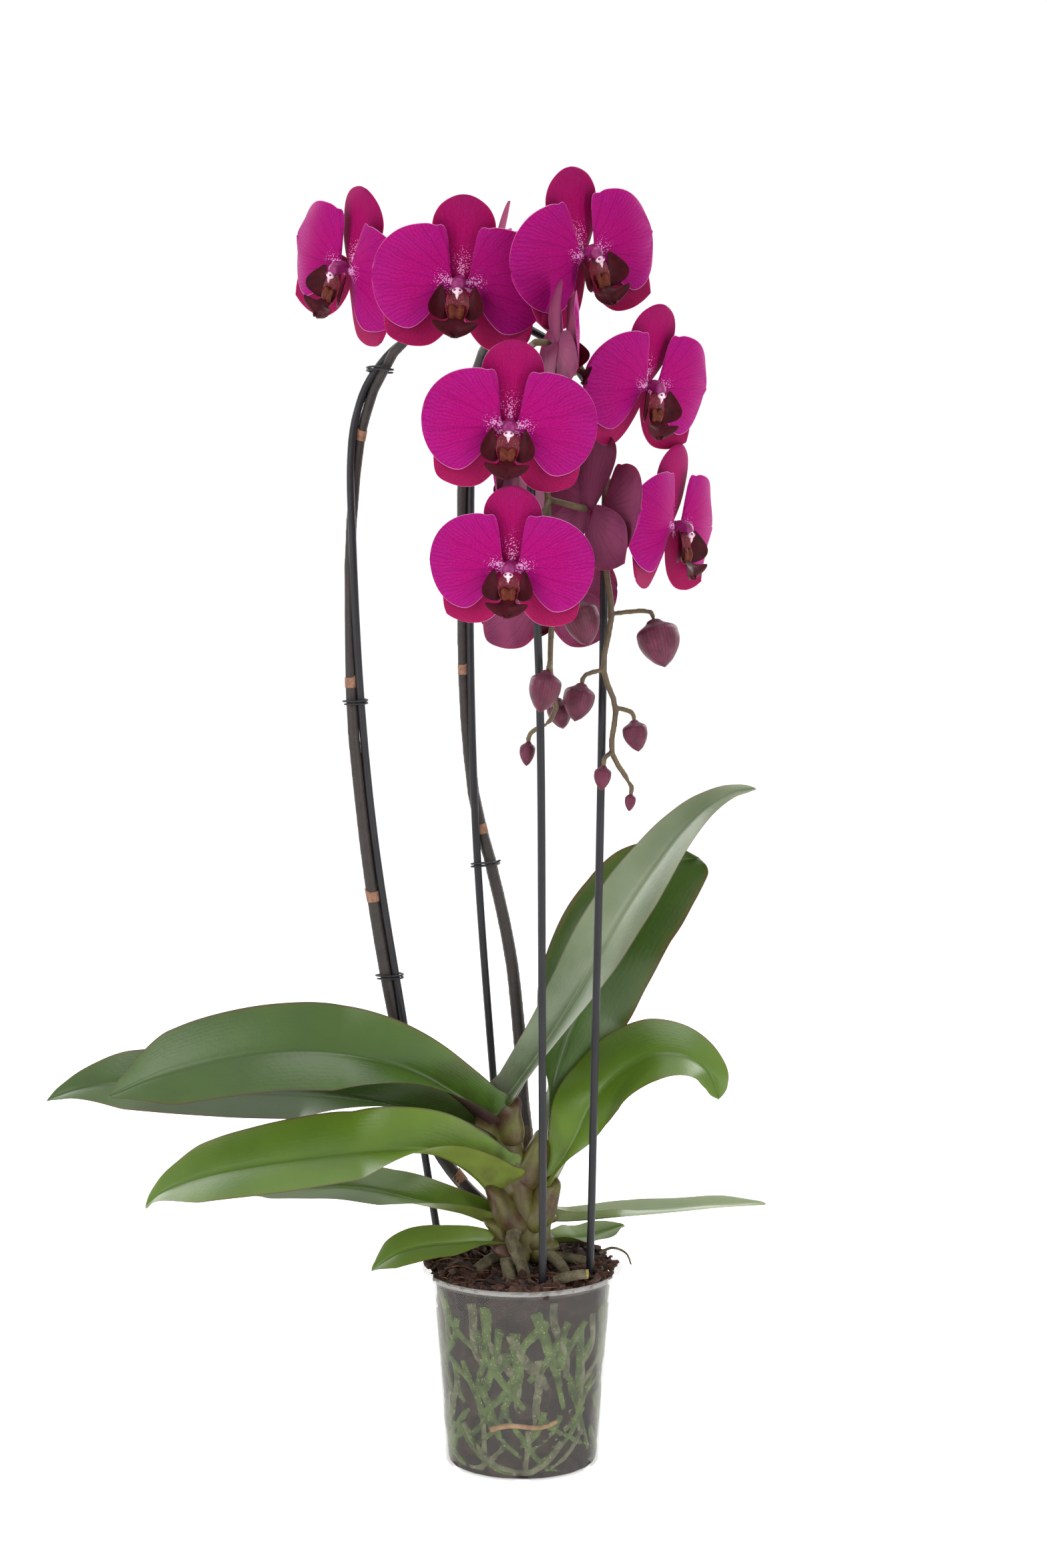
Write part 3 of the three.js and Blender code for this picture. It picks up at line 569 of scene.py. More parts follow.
def bark_material(name, low, high, chip_mm, grain_mm=1.4, depth=0.75):
    """Pine bark, broken and sieved: dry, fibrous, dark red-brown with paler broken faces."""
    made, add, shader = finish_of(name, Roughness=0.9)
    place = add("TexCoord", out=OBJECT)
    cells = add("TexVoronoi", {"Vector": place, "Scale": 1 / (chip_mm * MM)}, out=1)
    base = mix(add, add("SeparateXYZ", {0: cells}), low, high)
    grain = add("TexNoise", {"Vector": place, "Scale": 1 / (grain_mm * MM), "Detail": 7.0})
    dark = add("MapRange", {0: grain, 1: 0.42, 2: 0.62, 3: 0.0, 4: depth})
    base = mix(add, dark, base, linear("#1A100C"))
    bump = add("Bump", {"Height": grain, "Strength": 0.9, "Distance": 0.7 * MM})
    drive(shader, Base_Color=base, Normal=bump)
    return made


# ---- pot ----------------------------------------------------------------------------
POT_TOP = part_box("pot")[1].z
POT_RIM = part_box("pot")[1].x
POT_NECK_Z = POT_TOP - 5 * MM


def pot_radii():
    """Outer radius of the CAD pot's wall at the foot and under the rim."""
    points, _ = merged("pot")
    r = np.hypot(points[:, 0], points[:, 1])
    foot = r[points[:, 2] < 1.2 * MM].max()
    near = np.abs(points[:, 2] - POT_NECK_Z) < 1.5 * MM
    under = r[near & (r < POT_RIM - 2 * MM)]
    return foot, under.max() if len(under) else foot * 1.16


FOOT_RADIUS, NECK_RADIUS = pot_radii()


def pot_radius(z):
    return FOOT_RADIUS + (NECK_RADIUS - FOOT_RADIUS) * z / POT_NECK_Z


class ORCHID_OT_pot(bpy.types.Operator):
    """Makes the clear pot with its frosted rim and drain notches"""
    bl_idname = "orchid.pot"
    bl_label = "Clear pot"

    def execute(self, context):
        sizes = context.scene.orchid_pot
        wall = sizes.wall
        top, rim, foot, neck, neck_z = POT_TOP, POT_RIM, FOOT_RADIUS, NECK_RADIUS, POT_NECK_Z
        profile = [(foot - 1.6 * MM, 0), (foot - 0.5 * MM, 0.15 * MM), (foot, 0.9 * MM)]
        profile += [(foot + (neck - foot) * k / 12, 0.9 * MM + (neck_z - 2 * MM) * k / 12)
                    for k in range(1, 13)]
        profile += [(neck + 1.6 * MM, neck_z + 0.2 * MM), (neck + 3 * MM, neck_z + 1.4 * MM),
                    (rim - 1.4 * MM, top - 2.6 * MM), (rim - 0.4 * MM, top - 2.4 * MM),
                    (rim, top - 1.6 * MM), (rim - 0.1 * MM, top - 0.7 * MM),
                    (rim - 0.8 * MM, top - 0.1 * MM), (rim - 1.6 * MM, top),
                    (neck + 3 * MM, top - 0.6 * MM), (neck + 1.4 * MM, top - 1.8 * MM),
                    (neck - wall * 0.4, neck_z + 0.6 * MM), (neck - wall, neck_z - 1.4 * MM)]
        profile += [(foot - wall + (neck - foot) * k / 12,
                     sizes.floor + (neck_z - 2 * MM - sizes.floor) * k / 12) for k in range(11, -1, -1)]
        clear_selection()
        bpy.ops.mesh.primitive_circle_add(vertices=144, radius=profile[0][0], fill_type="NGON",
                                          location=(0, 0, profile[0][1]))
        pot = bpy.context.object
        pot.name = pot.data.name = "clear_pot"
        bpy.ops.object.transform_apply(location=True)
        bpy.ops.object.mode_set(mode="EDIT")
        bpy.ops.mesh.select_all(action="SELECT")
        bpy.ops.mesh.inset(thickness=foot * 0.12, depth=0)
        bpy.ops.mesh.inset(thickness=1 * MM, depth=0)
        bpy.ops.transform.translate(value=(0, 0, 0.3 * MM))
        bpy.ops.object.mode_set(mode="OBJECT")
        radius = profile[0][0]
        for v in pot.data.vertices:
            v.select = bool(math.hypot(v.co.x, v.co.y) > radius * 0.99)
        for e in pot.data.edges:
            e.select = all(pot.data.vertices[i].select for i in e.vertices)
        for p in pot.data.polygons:
            p.select = False
        bpy.ops.object.mode_set(mode="EDIT")
        bpy.ops.mesh.select_mode(type="EDGE")
        for (r0, z0), (r1, z1) in zip(profile, profile[1:]):
            bpy.ops.mesh.extrude_edges_move()
            k = r1 / r0
            bpy.ops.transform.resize(value=(k, k, 1), center_override=(0, 0, 0))
            bpy.ops.transform.translate(value=(0, 0, z1 - z0))
        bpy.ops.mesh.edge_face_add()
        bpy.ops.mesh.select_all(action="SELECT")
        bpy.ops.mesh.normals_make_consistent(inside=False)
        bpy.ops.object.mode_set(mode="OBJECT")
        cut_drain_notches(pot, sizes, foot)
        pot.data.materials.append(clear_pot_material(linear(sizes.plastic)))
        pot.data.materials.append(frosted_rim_material())
        for p in pot.data.polygons:
            p.material_index = 1 if p.center.z > neck_z + 1.2 * MM else 0
        smooth(pot)
        clear_selection()
        pot.select_set(True)
        context.view_layer.objects.active = pot
        bpy.ops.object.shade_smooth_by_angle(angle=math.radians(40))
        settle(pot, "clear_pot", "pot")
        return {"FINISHED"}


def cut_drain_notches(pot, sizes, foot):
    """Arched notches round the foot, where the water runs out."""
    for i in range(sizes.notches):
        turn = 2 * math.pi * (i + 0.5) / sizes.notches
        clear_selection()
        bpy.ops.mesh.primitive_cylinder_add(vertices=40, radius=4.2 * MM, depth=6 * MM,
                                            location=round_pot(turn, foot, 0.6 * MM),
                                            rotation=(0, math.pi / 2, turn))
        bit = bpy.context.object
        apply(pot, "BOOLEAN", object=bit, operation="DIFFERENCE", solver="EXACT")
        bpy.data.objects.remove(bit)


# ---- potting mix --------------------------------------------------------------------
def soil_height(x, y):
    """Height of the mix's surface: heaped over the rim at the left, and a little at the back right."""
    heap = 9 * MM * np.exp(-((x + 36 * MM) ** 2 + (y - 10 * MM) ** 2) / (2 * (15 * MM) ** 2))
    back = 7 * MM * np.exp(-((x - 40 * MM) ** 2 + (y - 24 * MM) ** 2) / (2 * (13 * MM) ** 2))
    flat = np.stack([x, y, 0 * x], -1)
    return POT_TOP - 2.5 * MM + heap + back + 1.6 * MM * lumps(flat, 14 * MM, 3)


def soil_at(x, y):
    return float(soil_height(np.array([x]), np.array([y]))[0])


FIBRES = 44
# Chips on and over the rim: how many, how they spread round the pot, how far out and how high, in mm.
HEAPS = [
    (46, ("normal", math.pi, 0.35), (44, 57), (0.5, 5)),
    (110, ("uniform", 0, 2 * math.pi), (49.5, 55.5), (-2.5, 0.4)),
    (26, ("normal", 0.5, 0.25), (42, 52), (-2, 4))]


class ORCHID_OT_bark(bpy.types.Operator):
    """Fills the pot with bark and scatters loose chips and fibres on top"""
    bl_idname = "orchid.bark"
    bl_label = "Bark mix"

    def execute(self, context):
        sizes = context.scene.orchid_pot
        inside = bark_material("damp pine bark behind the wall", linear("#0C0908"), linear("#3A2C26"), 9,
                               6, 0.6)
        dry = bark_material("dry pine bark chips", linear("#2C1812"), linear(sizes.bark), 4)
        fibre = plain_live_material("coir and bark fibre, dry", linear("#5A3B26"), linear("#8A6242"), 3,
                                    0.9, 0.4)

        def bed(t, across, thick):
            # top skin to the first third, the wall down to the last fifth, then the underside
            open_ = np.hypot(across, thick) > 0.5
            low = sizes.floor + 0.2 * MM
            down = np.clip((t - 0.34) / 0.46, 0, 1)
            wall = POT_NECK_Z - 1 * MM - (POT_NECK_Z - 1 * MM - low) * down
            reach = np.where(t < 0.34, t / 0.34, np.where(t > 0.8, (1 - t) / 0.2, 1)) * open_
            r = (pot_radius(wall) - sizes.wall - 1.5 * MM) * reach
            x, y = r * across, r * thick
            top = soil_height(x, y)
            z = np.where(t < 0.34, top, wall)
            point = np.stack([x, y, z], 1)
            dent = 1 + 0.005 * lumps(point, 7 * MM, 7) * (reach > 0.9)
            point[:, :2] *= dent[:, None]
            return point

        settle(grown("bark_bed", 128, 110, bed, [inside]), "bark_chips", "bark_mix")
        rng = np.random.default_rng(11)
        places = []
        while len(places) < sizes.chips:
            x, y = rng.uniform(-1, 1, 2) * (POT_RIM - 5 * MM)
            if math.hypot(x, y) < POT_RIM - 6.5 * MM:
                places.append((x, y, soil_at(x, y) + rng.uniform(0, 1.6) * MM))
        for count, (spread, *where), out, high in HEAPS:
            for _ in range(count):
                turn, r = getattr(rng, spread)(*where), rng.uniform(*out) * MM
                places.append(round_pot(turn, r, POT_TOP + rng.uniform(*high) * MM))
        settle(scatter_chips(rng, places, "bark_chips_loose", dry), "bark_chips")
        strands = []
        for i in range(FIBRES):
            turn, r = rng.uniform(0, 2 * math.pi), rng.uniform(8, 53) * MM
            if i % 3 == 0:
                turn, r = rng.normal(math.pi * 1.1, 0.3), rng.uniform(40, 55) * MM
            x, y = r * math.cos(turn), r * math.sin(turn)
            z = max(soil_at(x, y), POT_TOP - 3 * MM) + 2.2 * MM
            way, long, bow = rng.uniform(0, 2 * math.pi), rng.uniform(7, 19) * MM, rng.normal(0, 4) * MM
            f = np.linspace(-0.5, 0.5, 7)
            line = np.stack([x + f * long * math.cos(way) - bow * (1 - 4 * f**2) * math.sin(way),
                             y + f * long * math.sin(way) + bow * (1 - 4 * f**2) * math.cos(way),
                             z + rng.uniform(-1, 2.5) * MM * (1 - 4 * f**2) - 0.8 * MM], 1)
            keep = (POT_RIM - 1 * MM) / np.maximum(np.hypot(line[:, 0], line[:, 1]), POT_RIM - 1 * MM)
            line[:, :2] *= keep[:, None]
            thin = rng.uniform(0.22, 0.5) * MM
            strands.append(stem(f"fibre_{i}", line, lambda t, thin=thin: thin + 0 * t, 5, 12, fibre))
        settle(joined("bark_fibres", strands), "bark_chips")
        return {"FINISHED"}


def chip_shapes(rng):
    """Eight ragged chips, each a bevelled block broken unevenly."""
    shapes = []
    for _ in range(8):
        clear_selection()
        bpy.ops.mesh.primitive_cube_add(size=1)
        block = bpy.context.object
        bpy.ops.object.mode_set(mode="EDIT")
        bpy.ops.mesh.bevel(offset=0.16, segments=1)
        bpy.ops.object.mode_set(mode="OBJECT")
        co = np.array([v.co[:] for v in block.data.vertices])
        co = co * [rng.uniform(1.1, 2.3), 1, rng.uniform(0.3, 0.6)] * (1 + rng.normal(0, 0.17, co.shape))
        shapes.append((co, [tuple(p.vertices) for p in block.data.polygons]))
        bpy.data.objects.remove(block)
    return shapes


def scatter_chips(rng, places, name, material):
    """Loose chips lying at the places, as one piece copied from a few modelled ones."""
    shapes = chip_shapes(rng)
    co, faces, start = [], [], 0
    for at in places:
        size = rng.choice([2.4, 3.4, 4.6, 6.2], p=[0.35, 0.35, 0.2, 0.1]) * rng.uniform(0.8, 1.2) * MM
        shape, sides = shapes[rng.integers(len(shapes))]
        turn = (Matrix.Rotation(rng.uniform(0, 6.28), 3, "Z") @ Matrix.Rotation(rng.normal(0, 0.6), 3, "X")
                @ Matrix.Rotation(rng.normal(0, 0.6), 3, "Y"))
        co.append(shape * size @ np.array(turn).T + at)
        faces += [tuple(start + v for v in side) for side in sides]
        start += len(shape)
    mesh = bpy.data.meshes.new(name)
    mesh.from_pydata(np.concatenate(co).tolist(), [], faces)
    mesh.materials.append(material)
    piece = bpy.data.objects.new(name, mesh)
    bpy.context.scene.collection.objects.link(piece)
    return piece


# ---- crown, leaves ------------------------------------------------------------------
def leaf_sections(node):
    """A CAD leaf's midrib, half width as a vector, fold height and upper side, at each ring."""
    start, rings, end = rings_of(node, 8)
    middle, side, up, rise = [], [], [], []
    last = None
    for ring in rings:
        gaps = np.linalg.norm(ring[:, None] - ring[None], axis=2)
        if last is None:
            i, j = np.unravel_index(np.argmax(gaps), gaps.shape)
            if ring[i][1] > ring[j][1]:
                i, j = j, i
        else:
            # opposite points whose line runs on from the ring before
            pairs = [(k, (k + 4) % 8) for k in range(8)]
            i, j = max(pairs, key=lambda q: np.dot(ring[q[0]] - ring[q[1]], unit(last)))
        centre = (ring[(i + 2) % 8] + ring[(i - 2) % 8]) / 2
        half = (ring[i] - ring[j]) / 2
        lift = (ring[i] + ring[j]) / 2 - centre
        lift = lift - half * lift.dot(half) / half.dot(half)
        middle.append(centre)
        side.append(half)
        up.append(unit(lift))
        rise.append(np.linalg.norm(lift))
        last = half
    middle = np.array([start, *middle, end])
    side = np.array([side[0] * 0.6, *side, side[-1] * 0.02])
    up = np.array([up[0], *up, up[-1]])
    return middle, side, up, np.array([rise[0], *rise, 0])


class ORCHID_OT_leaves(bpy.types.Operator):
    """Makes the ten leaves over the sections of their CAD solids"""
    bl_idname = "orchid.leaves"
    bl_label = "Leaves"

    def execute(self, context):
        sizes = context.scene.orchid_leaf
        flush = linear(sizes.flush)
        # the second colours of the top and under skins are the lighter greens of the painted glow of light
        # through the blade towards the foot
        skins = {
            "top": leaf_material("orchid leaf, waxy upper face", linear(sizes.top), linear("#46641E"),
                                 flush, False),
            "under": leaf_material("orchid leaf, underside", linear(sizes.under), linear("#546A24"),
                                   flush, True)}
        for key, name, body, light, under in LEAF_SKINS:
            skins[key] = leaf_material(f"orchid leaf, {name}", linear(body), linear(light), flush,
                                       under)
        for i, node in enumerate(LEAVES):
            pair = [skins[key] for key in LEAF_WEARS.get(node, ("top", "under"))]
            settle(make_leaf(node, sizes.thickness, i, pair), "leaf", node)
        return {"FINISHED"}


# The leaves' other skins: key, name, colour, lighter colour, and whether it is an underside.
LEAF_SKINS = [
    ("young", "old and yellowing", "#55702A", "#6E8438", False),
    ("dark", "flushed underside", "#41402A", "#3C2826", True),
    ("thin", "thin and grey-green", "#6E7E58", "#8E9A6C", False),
    # this skin and the next are lighter copies of the leaf greens: a painted glow of light shining through the
    # blade
    ("backlit_top", "lighter, painted backlit glow", "#466414", "#668422", False),
    ("glow", "underside, painted backlit glow", "#56661E", "#66762A", True),
    # a pale grey-green tip over a darker green foot: a painted sheen of the white backdrop glancing off the
    # waxy leaf
    ("painted_sheen", "painted grey sheen", "#7E8A6C", "#40562A", False)]
# The upper and under skin of each leaf that differs from the rest.
LEAF_WEARS = {
    "leaf_left_1": ("top", "dark"), "leaf_left_3": ("backlit_top", "glow"), "leaf_left_4": ("backlit_top", "glow"),
    "leaf_left_5": ("young", "young"), "leaf_right_1": ("painted_sheen", "under"), "leaf_right_3": ("backlit_top", "glow"),
    "leaf_right_4": ("thin", "thin"), "leaf_right_5": ("young", "young")}
# How far a leaf's halves fold up at the foot.
FOLDED = {"leaf_left_1": 1.2, "leaf_left_2": 1.4, "leaf_left_3": 1.7, "leaf_left_4": 0.7}
# Where along a leaf its point begins, and how much of its width the point takes away.
POINTED = {"leaf_right_1": (0.6, 0.7), "leaf_right_3": (0.66, 0.6), "leaf_right_2": (0.9, 0.0)}
# From here on a leaf keeps its section's turn and ends in a round tip.
ROUND_FROM = {"leaf_right_2": 0.74}
# Leaves seen nearly edge on, narrower than their solids.
NARROW = {"leaf_right_4": 0.6}


def make_leaf(node, thickness, seed, materials):
    middle, side, up, rise = leaf_sections(node)
    run, _ = lengths_along(middle)
    half = np.linalg.norm(side, axis=1)
    way = unit(side)

    def place(t, across, thick):
        along = (1 - np.cos(math.pi * t)) / 2 * 0.35 + t * 0.65
        c = curve_through(run, middle, along)
        open_ = np.hypot(across, thick) > 0.5
        until = ROUND_FROM.get(node, 1.0)
        held = np.minimum(along, until)
        w = np.maximum(curve_through(run, half, held), 0.1 * MM) * open_ * NARROW.get(node, 1)
        w = w * np.sqrt(np.clip(1 - ((along - held) / max(1 - until, 0.01)) ** 2, 0, 1))
        begins, taken = POINTED.get(node, (0.82, 0.78))
        w = w * (1 - taken * np.clip((along - begins) / (1 - begins), 0, 1) ** 1.4)
        d = unit(curve_through(run, way, held))
        u = unit(curve_through(run, up, held))
        u = unit(u - d * np.sum(u * d, 1, keepdims=True))
        foot = np.clip(1 - along / 0.14, 0, 1)
        edge = np.abs(across)
        keel = np.exp(-(across / 0.08) ** 2)
        # near the foot the halves fold up into a deep V, further out they open into a shallow one
        deep = np.clip(1 - along / 0.42, 0, 1) * FOLDED.get(node, 0.5)
        fold = curve_through(run, rise, held) * (0.75 * edge + 0.45 * np.sin(math.pi * edge / 2) ** 0.8)
        fold = fold + deep * w * edge**1.15
        wave = 0.03 * w * edge**2 * np.sin(along * (9 + seed) + seed * 1.7 + np.sign(across) * 0.8)
        tall = thickness * (1 - 0.55 * along) * (0.3 + 0.7 * (1 - edge**2)) / 2
        tall = tall + 2.4 * MM * foot * (1 - 0.5 * edge)
        tall = tall * np.where(open_, 1, 0.02)
        groove = -keel * (1.0 * MM * (1 - 0.6 * along)) * (1 - foot)
        lift = fold + wave + thick * tall + groove
        return c + d * (across * w * (1 - 0.3 * deep))[:, None] + u * lift[:, None]

    piece = grown(f"{node}_blade", 64, 110, place, materials)
    # a face is upper or under by the upper side of the leaf where it lies
    steps = np.linspace(0, 1, 200)
    middles = read(piece.data.polygons, "center", np.float32)
    spine = curve_through(run, middle, steps)
    near = np.argmin(np.linalg.norm(middles[:, None] - spine[None], axis=2), axis=1)
    skin_backs(piece.data, curve_through(run, up, steps)[near])
    return piece


class ORCHID_OT_crown(bpy.types.Operator):
    """Makes the crown from overlapping leaf sheaths"""
    bl_idname = "orchid.crown"
    bl_label = "Crown"

    def execute(self, context):
        sizes = context.scene.orchid_leaf
        skin = plain_live_material("leaf sheath, waxy and flushed", linear(sizes.sheath),
                                   linear("#4A2E26"), 14, 0.45, 1.0, coat=0.1)
        core, _ = spine_of("crown", 10)
        core = core[np.argsort(core[:, 2])]
        parts = []
        for node in LEAVES:
            middle, side, _, _ = leaf_sections(node)
            foot = middle[0]
            way = unit(middle[2] - middle[0])
            low = max(foot[2] - 24 * MM, core[0][2] + 2 * MM)
            axis = np.array([np.interp(low, core[:, 2], core[:, k]) for k in range(3)])
            axis[2] = low
            bend = (axis + foot) / 2 + [0.12 * (foot[0] - axis[0]), 0, -2 * MM]
            ends = [axis, bend, foot + way * 1 * MM, foot + way * 9 * MM]
            parts.append(sheath(node, np.array(ends), unit(side[1]), skin))
        parts.append(stem("crown_core", core, lambda t: 10.6 * MM - 3.2 * MM * t, 32, 40, skin))
        settle(joined("crown_sheaths", parts), "crown_sheaths", "crown")
        return {"FINISHED"}


def sheath(node, line, broad, skin):
    run, _ = lengths_along(line)

    def place(t, across, thick):
        c = curve_through(run, line, t)
        way = unit(curve_through(run, np.gradient(line, run, axis=0), t))
        b = unit(broad[None] - way * (way @ broad)[:, None])
        n = np.cross(way, b)
        wide = curve_through([0, 0.3, 0.7, 1], [10.5 * MM, 12.4 * MM, 11.4 * MM, 8 * MM], t)
        deep = curve_through([0, 0.3, 0.7, 1], [8.6 * MM, 8.6 * MM, 6.4 * MM, 2.8 * MM], t)
        close = np.clip(1 - (2 * t - 1) ** 10, 0, 1) ** 0.5
        wide = wide * (1 + 0.05 * np.cos(2 * np.arctan2(thick, across)))
        return c + b * (across * wide * close)[:, None] + n * (thick * deep * close)[:, None]

    return grown(f"sheath_{node}", 32, 24, place, [skin])


# ---- stems, stakes, clips -----------------------------------------------------------
class ORCHID_OT_stems(bpy.types.Operator):
    """Smooths the two flower spikes and gives them their joints and papery bracts"""
    bl_idname = "orchid.stems"
    bl_label = "Flower spikes"

    def execute(self, context):
        sizes = context.scene.orchid_stem
        skin = plain_live_material("flower spike skin, waxy", linear(sizes.spike), linear("#37302C"), 9,
                                   0.5, 0.8, spot=linear("#57493F"), spot_mm=1.1)
        stalk = plain_live_material("flower stalk, brown-green", linear("#4E4032"), linear("#6A5A40"),
                                    12, 0.5, 0.8, spot=linear("#7C6C50"), spot_mm=1.1)
        paper = plain_live_material("papery bract, dry", linear(sizes.bract), linear("#A07C64"), 3, 0.8,
                                    0.6)
        for which in ("outer", "inner"):
            node = f"spike_{which}"
            spike = copy_of(node, f"flower_spike_{which}", skin)
            apply(spike, "REMESH", mode="VOXEL", voxel_size=0.7 * MM)
            apply(spike, "SMOOTH", factor=0.5, iterations=8)
            fill_out(spike, which, stalk)
            smooth(spike)
            settle(spike, "flower_spike", node)
            bracts = make_bracts(spike, which, paper)
            settle(joined(f"flower_spike_{which}_bracts", bracts), "flower_spike")
        return {"FINISHED"}


SPIKE_MORE = (0.6, 0.6)  # how far a spike's skin moves out, in mm: everywhere, and again where it stands
STAKED = (190, 665, 12)  # the heights in mm between which the standing parts follow their stakes, and the step
STAKE_REACH = 16 * MM  # a stake further off than this belongs to the other leg


def fill_out(spike, which, stalk):
    """Gives a spike its full thickness, lays its standing part against its stake, as the clips hold it, and
    gives the stalks beyond it their own skin."""
    mesh = spike.data
    co = read(mesh.vertices, "co")
    out = read(mesh.vertices, "normal")

    def stands(points):
        if which == "outer":
            return np.clip((-10 * MM - points[:, 0]) / (30 * MM), 0, 1)
        return np.clip((points[:, 1] - 8 * MM) / (20 * MM), 0, 1)

    weight = stands(co)
    co = co + out * ((SPIKE_MORE[0] + SPIKE_MORE[1] * weight) * MM)[:, None]
    points, tris = merged(f"stake_{which}")
    ends = np.concatenate([tris[:, [0, 1]], tris[:, [1, 2]], tris[:, [2, 0]]])
    a, b = points[ends[:, 0]], points[ends[:, 1]]
    levels = np.arange(*STAKED) * MM
    shift = np.zeros((len(levels), 2))
    for i, z in enumerate(levels):
        here = co[(weight > 0.3) & (np.abs(co[:, 2] - z) < 1.5 * MM)]
        over = (a[:, 2] - z) * (b[:, 2] - z) < 0
        if len(here) < 4 or not over.any():
            continue
        middle = here.mean(0)
        rod = a[over] + (b - a)[over] * ((z - a[over, 2]) / (b - a)[over, 2])[:, None]
        rod = rod[np.linalg.norm((rod - middle)[:, :2], axis=1) < STAKE_REACH]
        if not len(rod):
            continue
        way = (rod.mean(0) - middle)[:2]
        far = np.linalg.norm(way)
        spare = far - np.linalg.norm((here - middle)[:, :2], axis=1).mean() - 2.2 * MM
        near = np.clip((7.5 * MM - spare) / (3 * MM), 0, 1)
        shift[i] = way / far * max(spare, 0) * near
    for _ in range(4):
        shift[1:-1] = (shift[:-2] + 2 * shift[1:-1] + shift[2:]) / 4
    for k in (0, 1):
        co[:, k] += np.interp(co[:, 2], levels, shift[:, k]) * weight
    mesh.vertices.foreach_set("co", co.astype(np.float32).ravel())
    mesh.materials.append(stalk)
    mesh.update()
    standing = stands(read(mesh.polygons, "center", np.float32))
    mesh.polygons.foreach_set("material_index", (standing < 0.5).astype(np.int32))


# Heights of the joints up each spike's standing part, in millimetres.
JOINTS = {"outer": (167, 338, 466, 612), "inner": (176, 373, 470)}


def make_bracts(spike, which, paper):
    co = read(spike.data.vertices, "co")
    standing = (co[:, 0] < -10 * MM) if which == "outer" else (co[:, 1] > 8 * MM)
    co = co[standing]
    made = []
    for i, height in enumerate(JOINTS[which]):
        z = height * MM
        cuts = [co[np.abs(co[:, 2] - z - k * MM) < 0.7 * MM] for k in (-3, 0, 3)]
        low, here, high = [c.mean(0) for c in cuts]
        way = unit(high - low)
        off = cuts[1] - here
        off = off - np.outer(off @ way, way)
        radius = np.median(np.linalg.norm(off, axis=1))
        side = unit(np.cross(way, [0, 1, 0])) * (1 if i % 2 else -1)
        other = np.cross(way, side)

        def place(t, across, thick, here=here, way=way, side=side, other=other, radius=radius):
            # a collar that hugs the stem and runs up to a point on one side
            rise = (t - 0.5) * 7 * MM + 2.6 * MM * np.clip(across, 0, 1) ** 2 * t
            flare = radius + (0.25 + 0.5 * t * np.clip(across, 0, 1)) * MM
            flare = flare * np.where(np.hypot(across, thick) > 0.5, 1, 0)
            flare = flare * np.minimum(1, 12 * np.sin(math.pi * t))
            spread = side * across[:, None] + other * thick[:, None]
            return here + way * rise[:, None] + spread * flare[:, None]

        made.append(grown(f"bract_{which}_{i}", 24, 14, place, [paper]))
    return made


class ORCHID_OT_stakes(bpy.types.Operator):
    """Rounds the two wire hoops and the four clips and gives them their coating"""
    bl_idname = "orchid.stakes"
    bl_label = "Hoops and clips"

    def execute(self, context):
        sizes = context.scene.orchid_stem
        coat = plain_live_material("plastic-coated steel wire", linear(sizes.wire), linear("#211F24"),
                                   24, 0.42, 0.7)
        clip = plain_live_material("thin coated tie wire", linear("#18181C"), linear("#242328"), 6,
                                   0.45, 0.5)
        for node in ("stake_outer", "stake_inner"):
            piece = copy_of(node, f"hoop_{node[6:]}", coat)
            apply(piece, "SUBSURF", levels=2, render_levels=2)
            smooth(piece)
            settle(piece, "coated_wire", node)
        for node in CLIPS:
            piece = copy_of(node, f"wire_{node}", clip)
            points, _ = merged(node)
            middle = points.mean(0)
            for v in piece.data.vertices:
                # pulled tight round spike and stake, its turns close together
                off = np.array(v.co) - middle
                v.co = middle + off * [0.97, 0.97, 0.66]
            apply(piece, "SUBSURF", levels=2, render_levels=2)
            apply(piece, "DISPLACE", strength=0.25 * MM, mid_level=0)
            smooth(piece)
            settle(piece, "clip_wire", node)
        return {"FINISHED"}


# ---- roots --------------------------------------------------------------------------
WALL_ROOTS = 132
FOOT_ROOTS = 30
AERIAL_FILL = 1.34  # the real roots are a third thicker than their collision solids


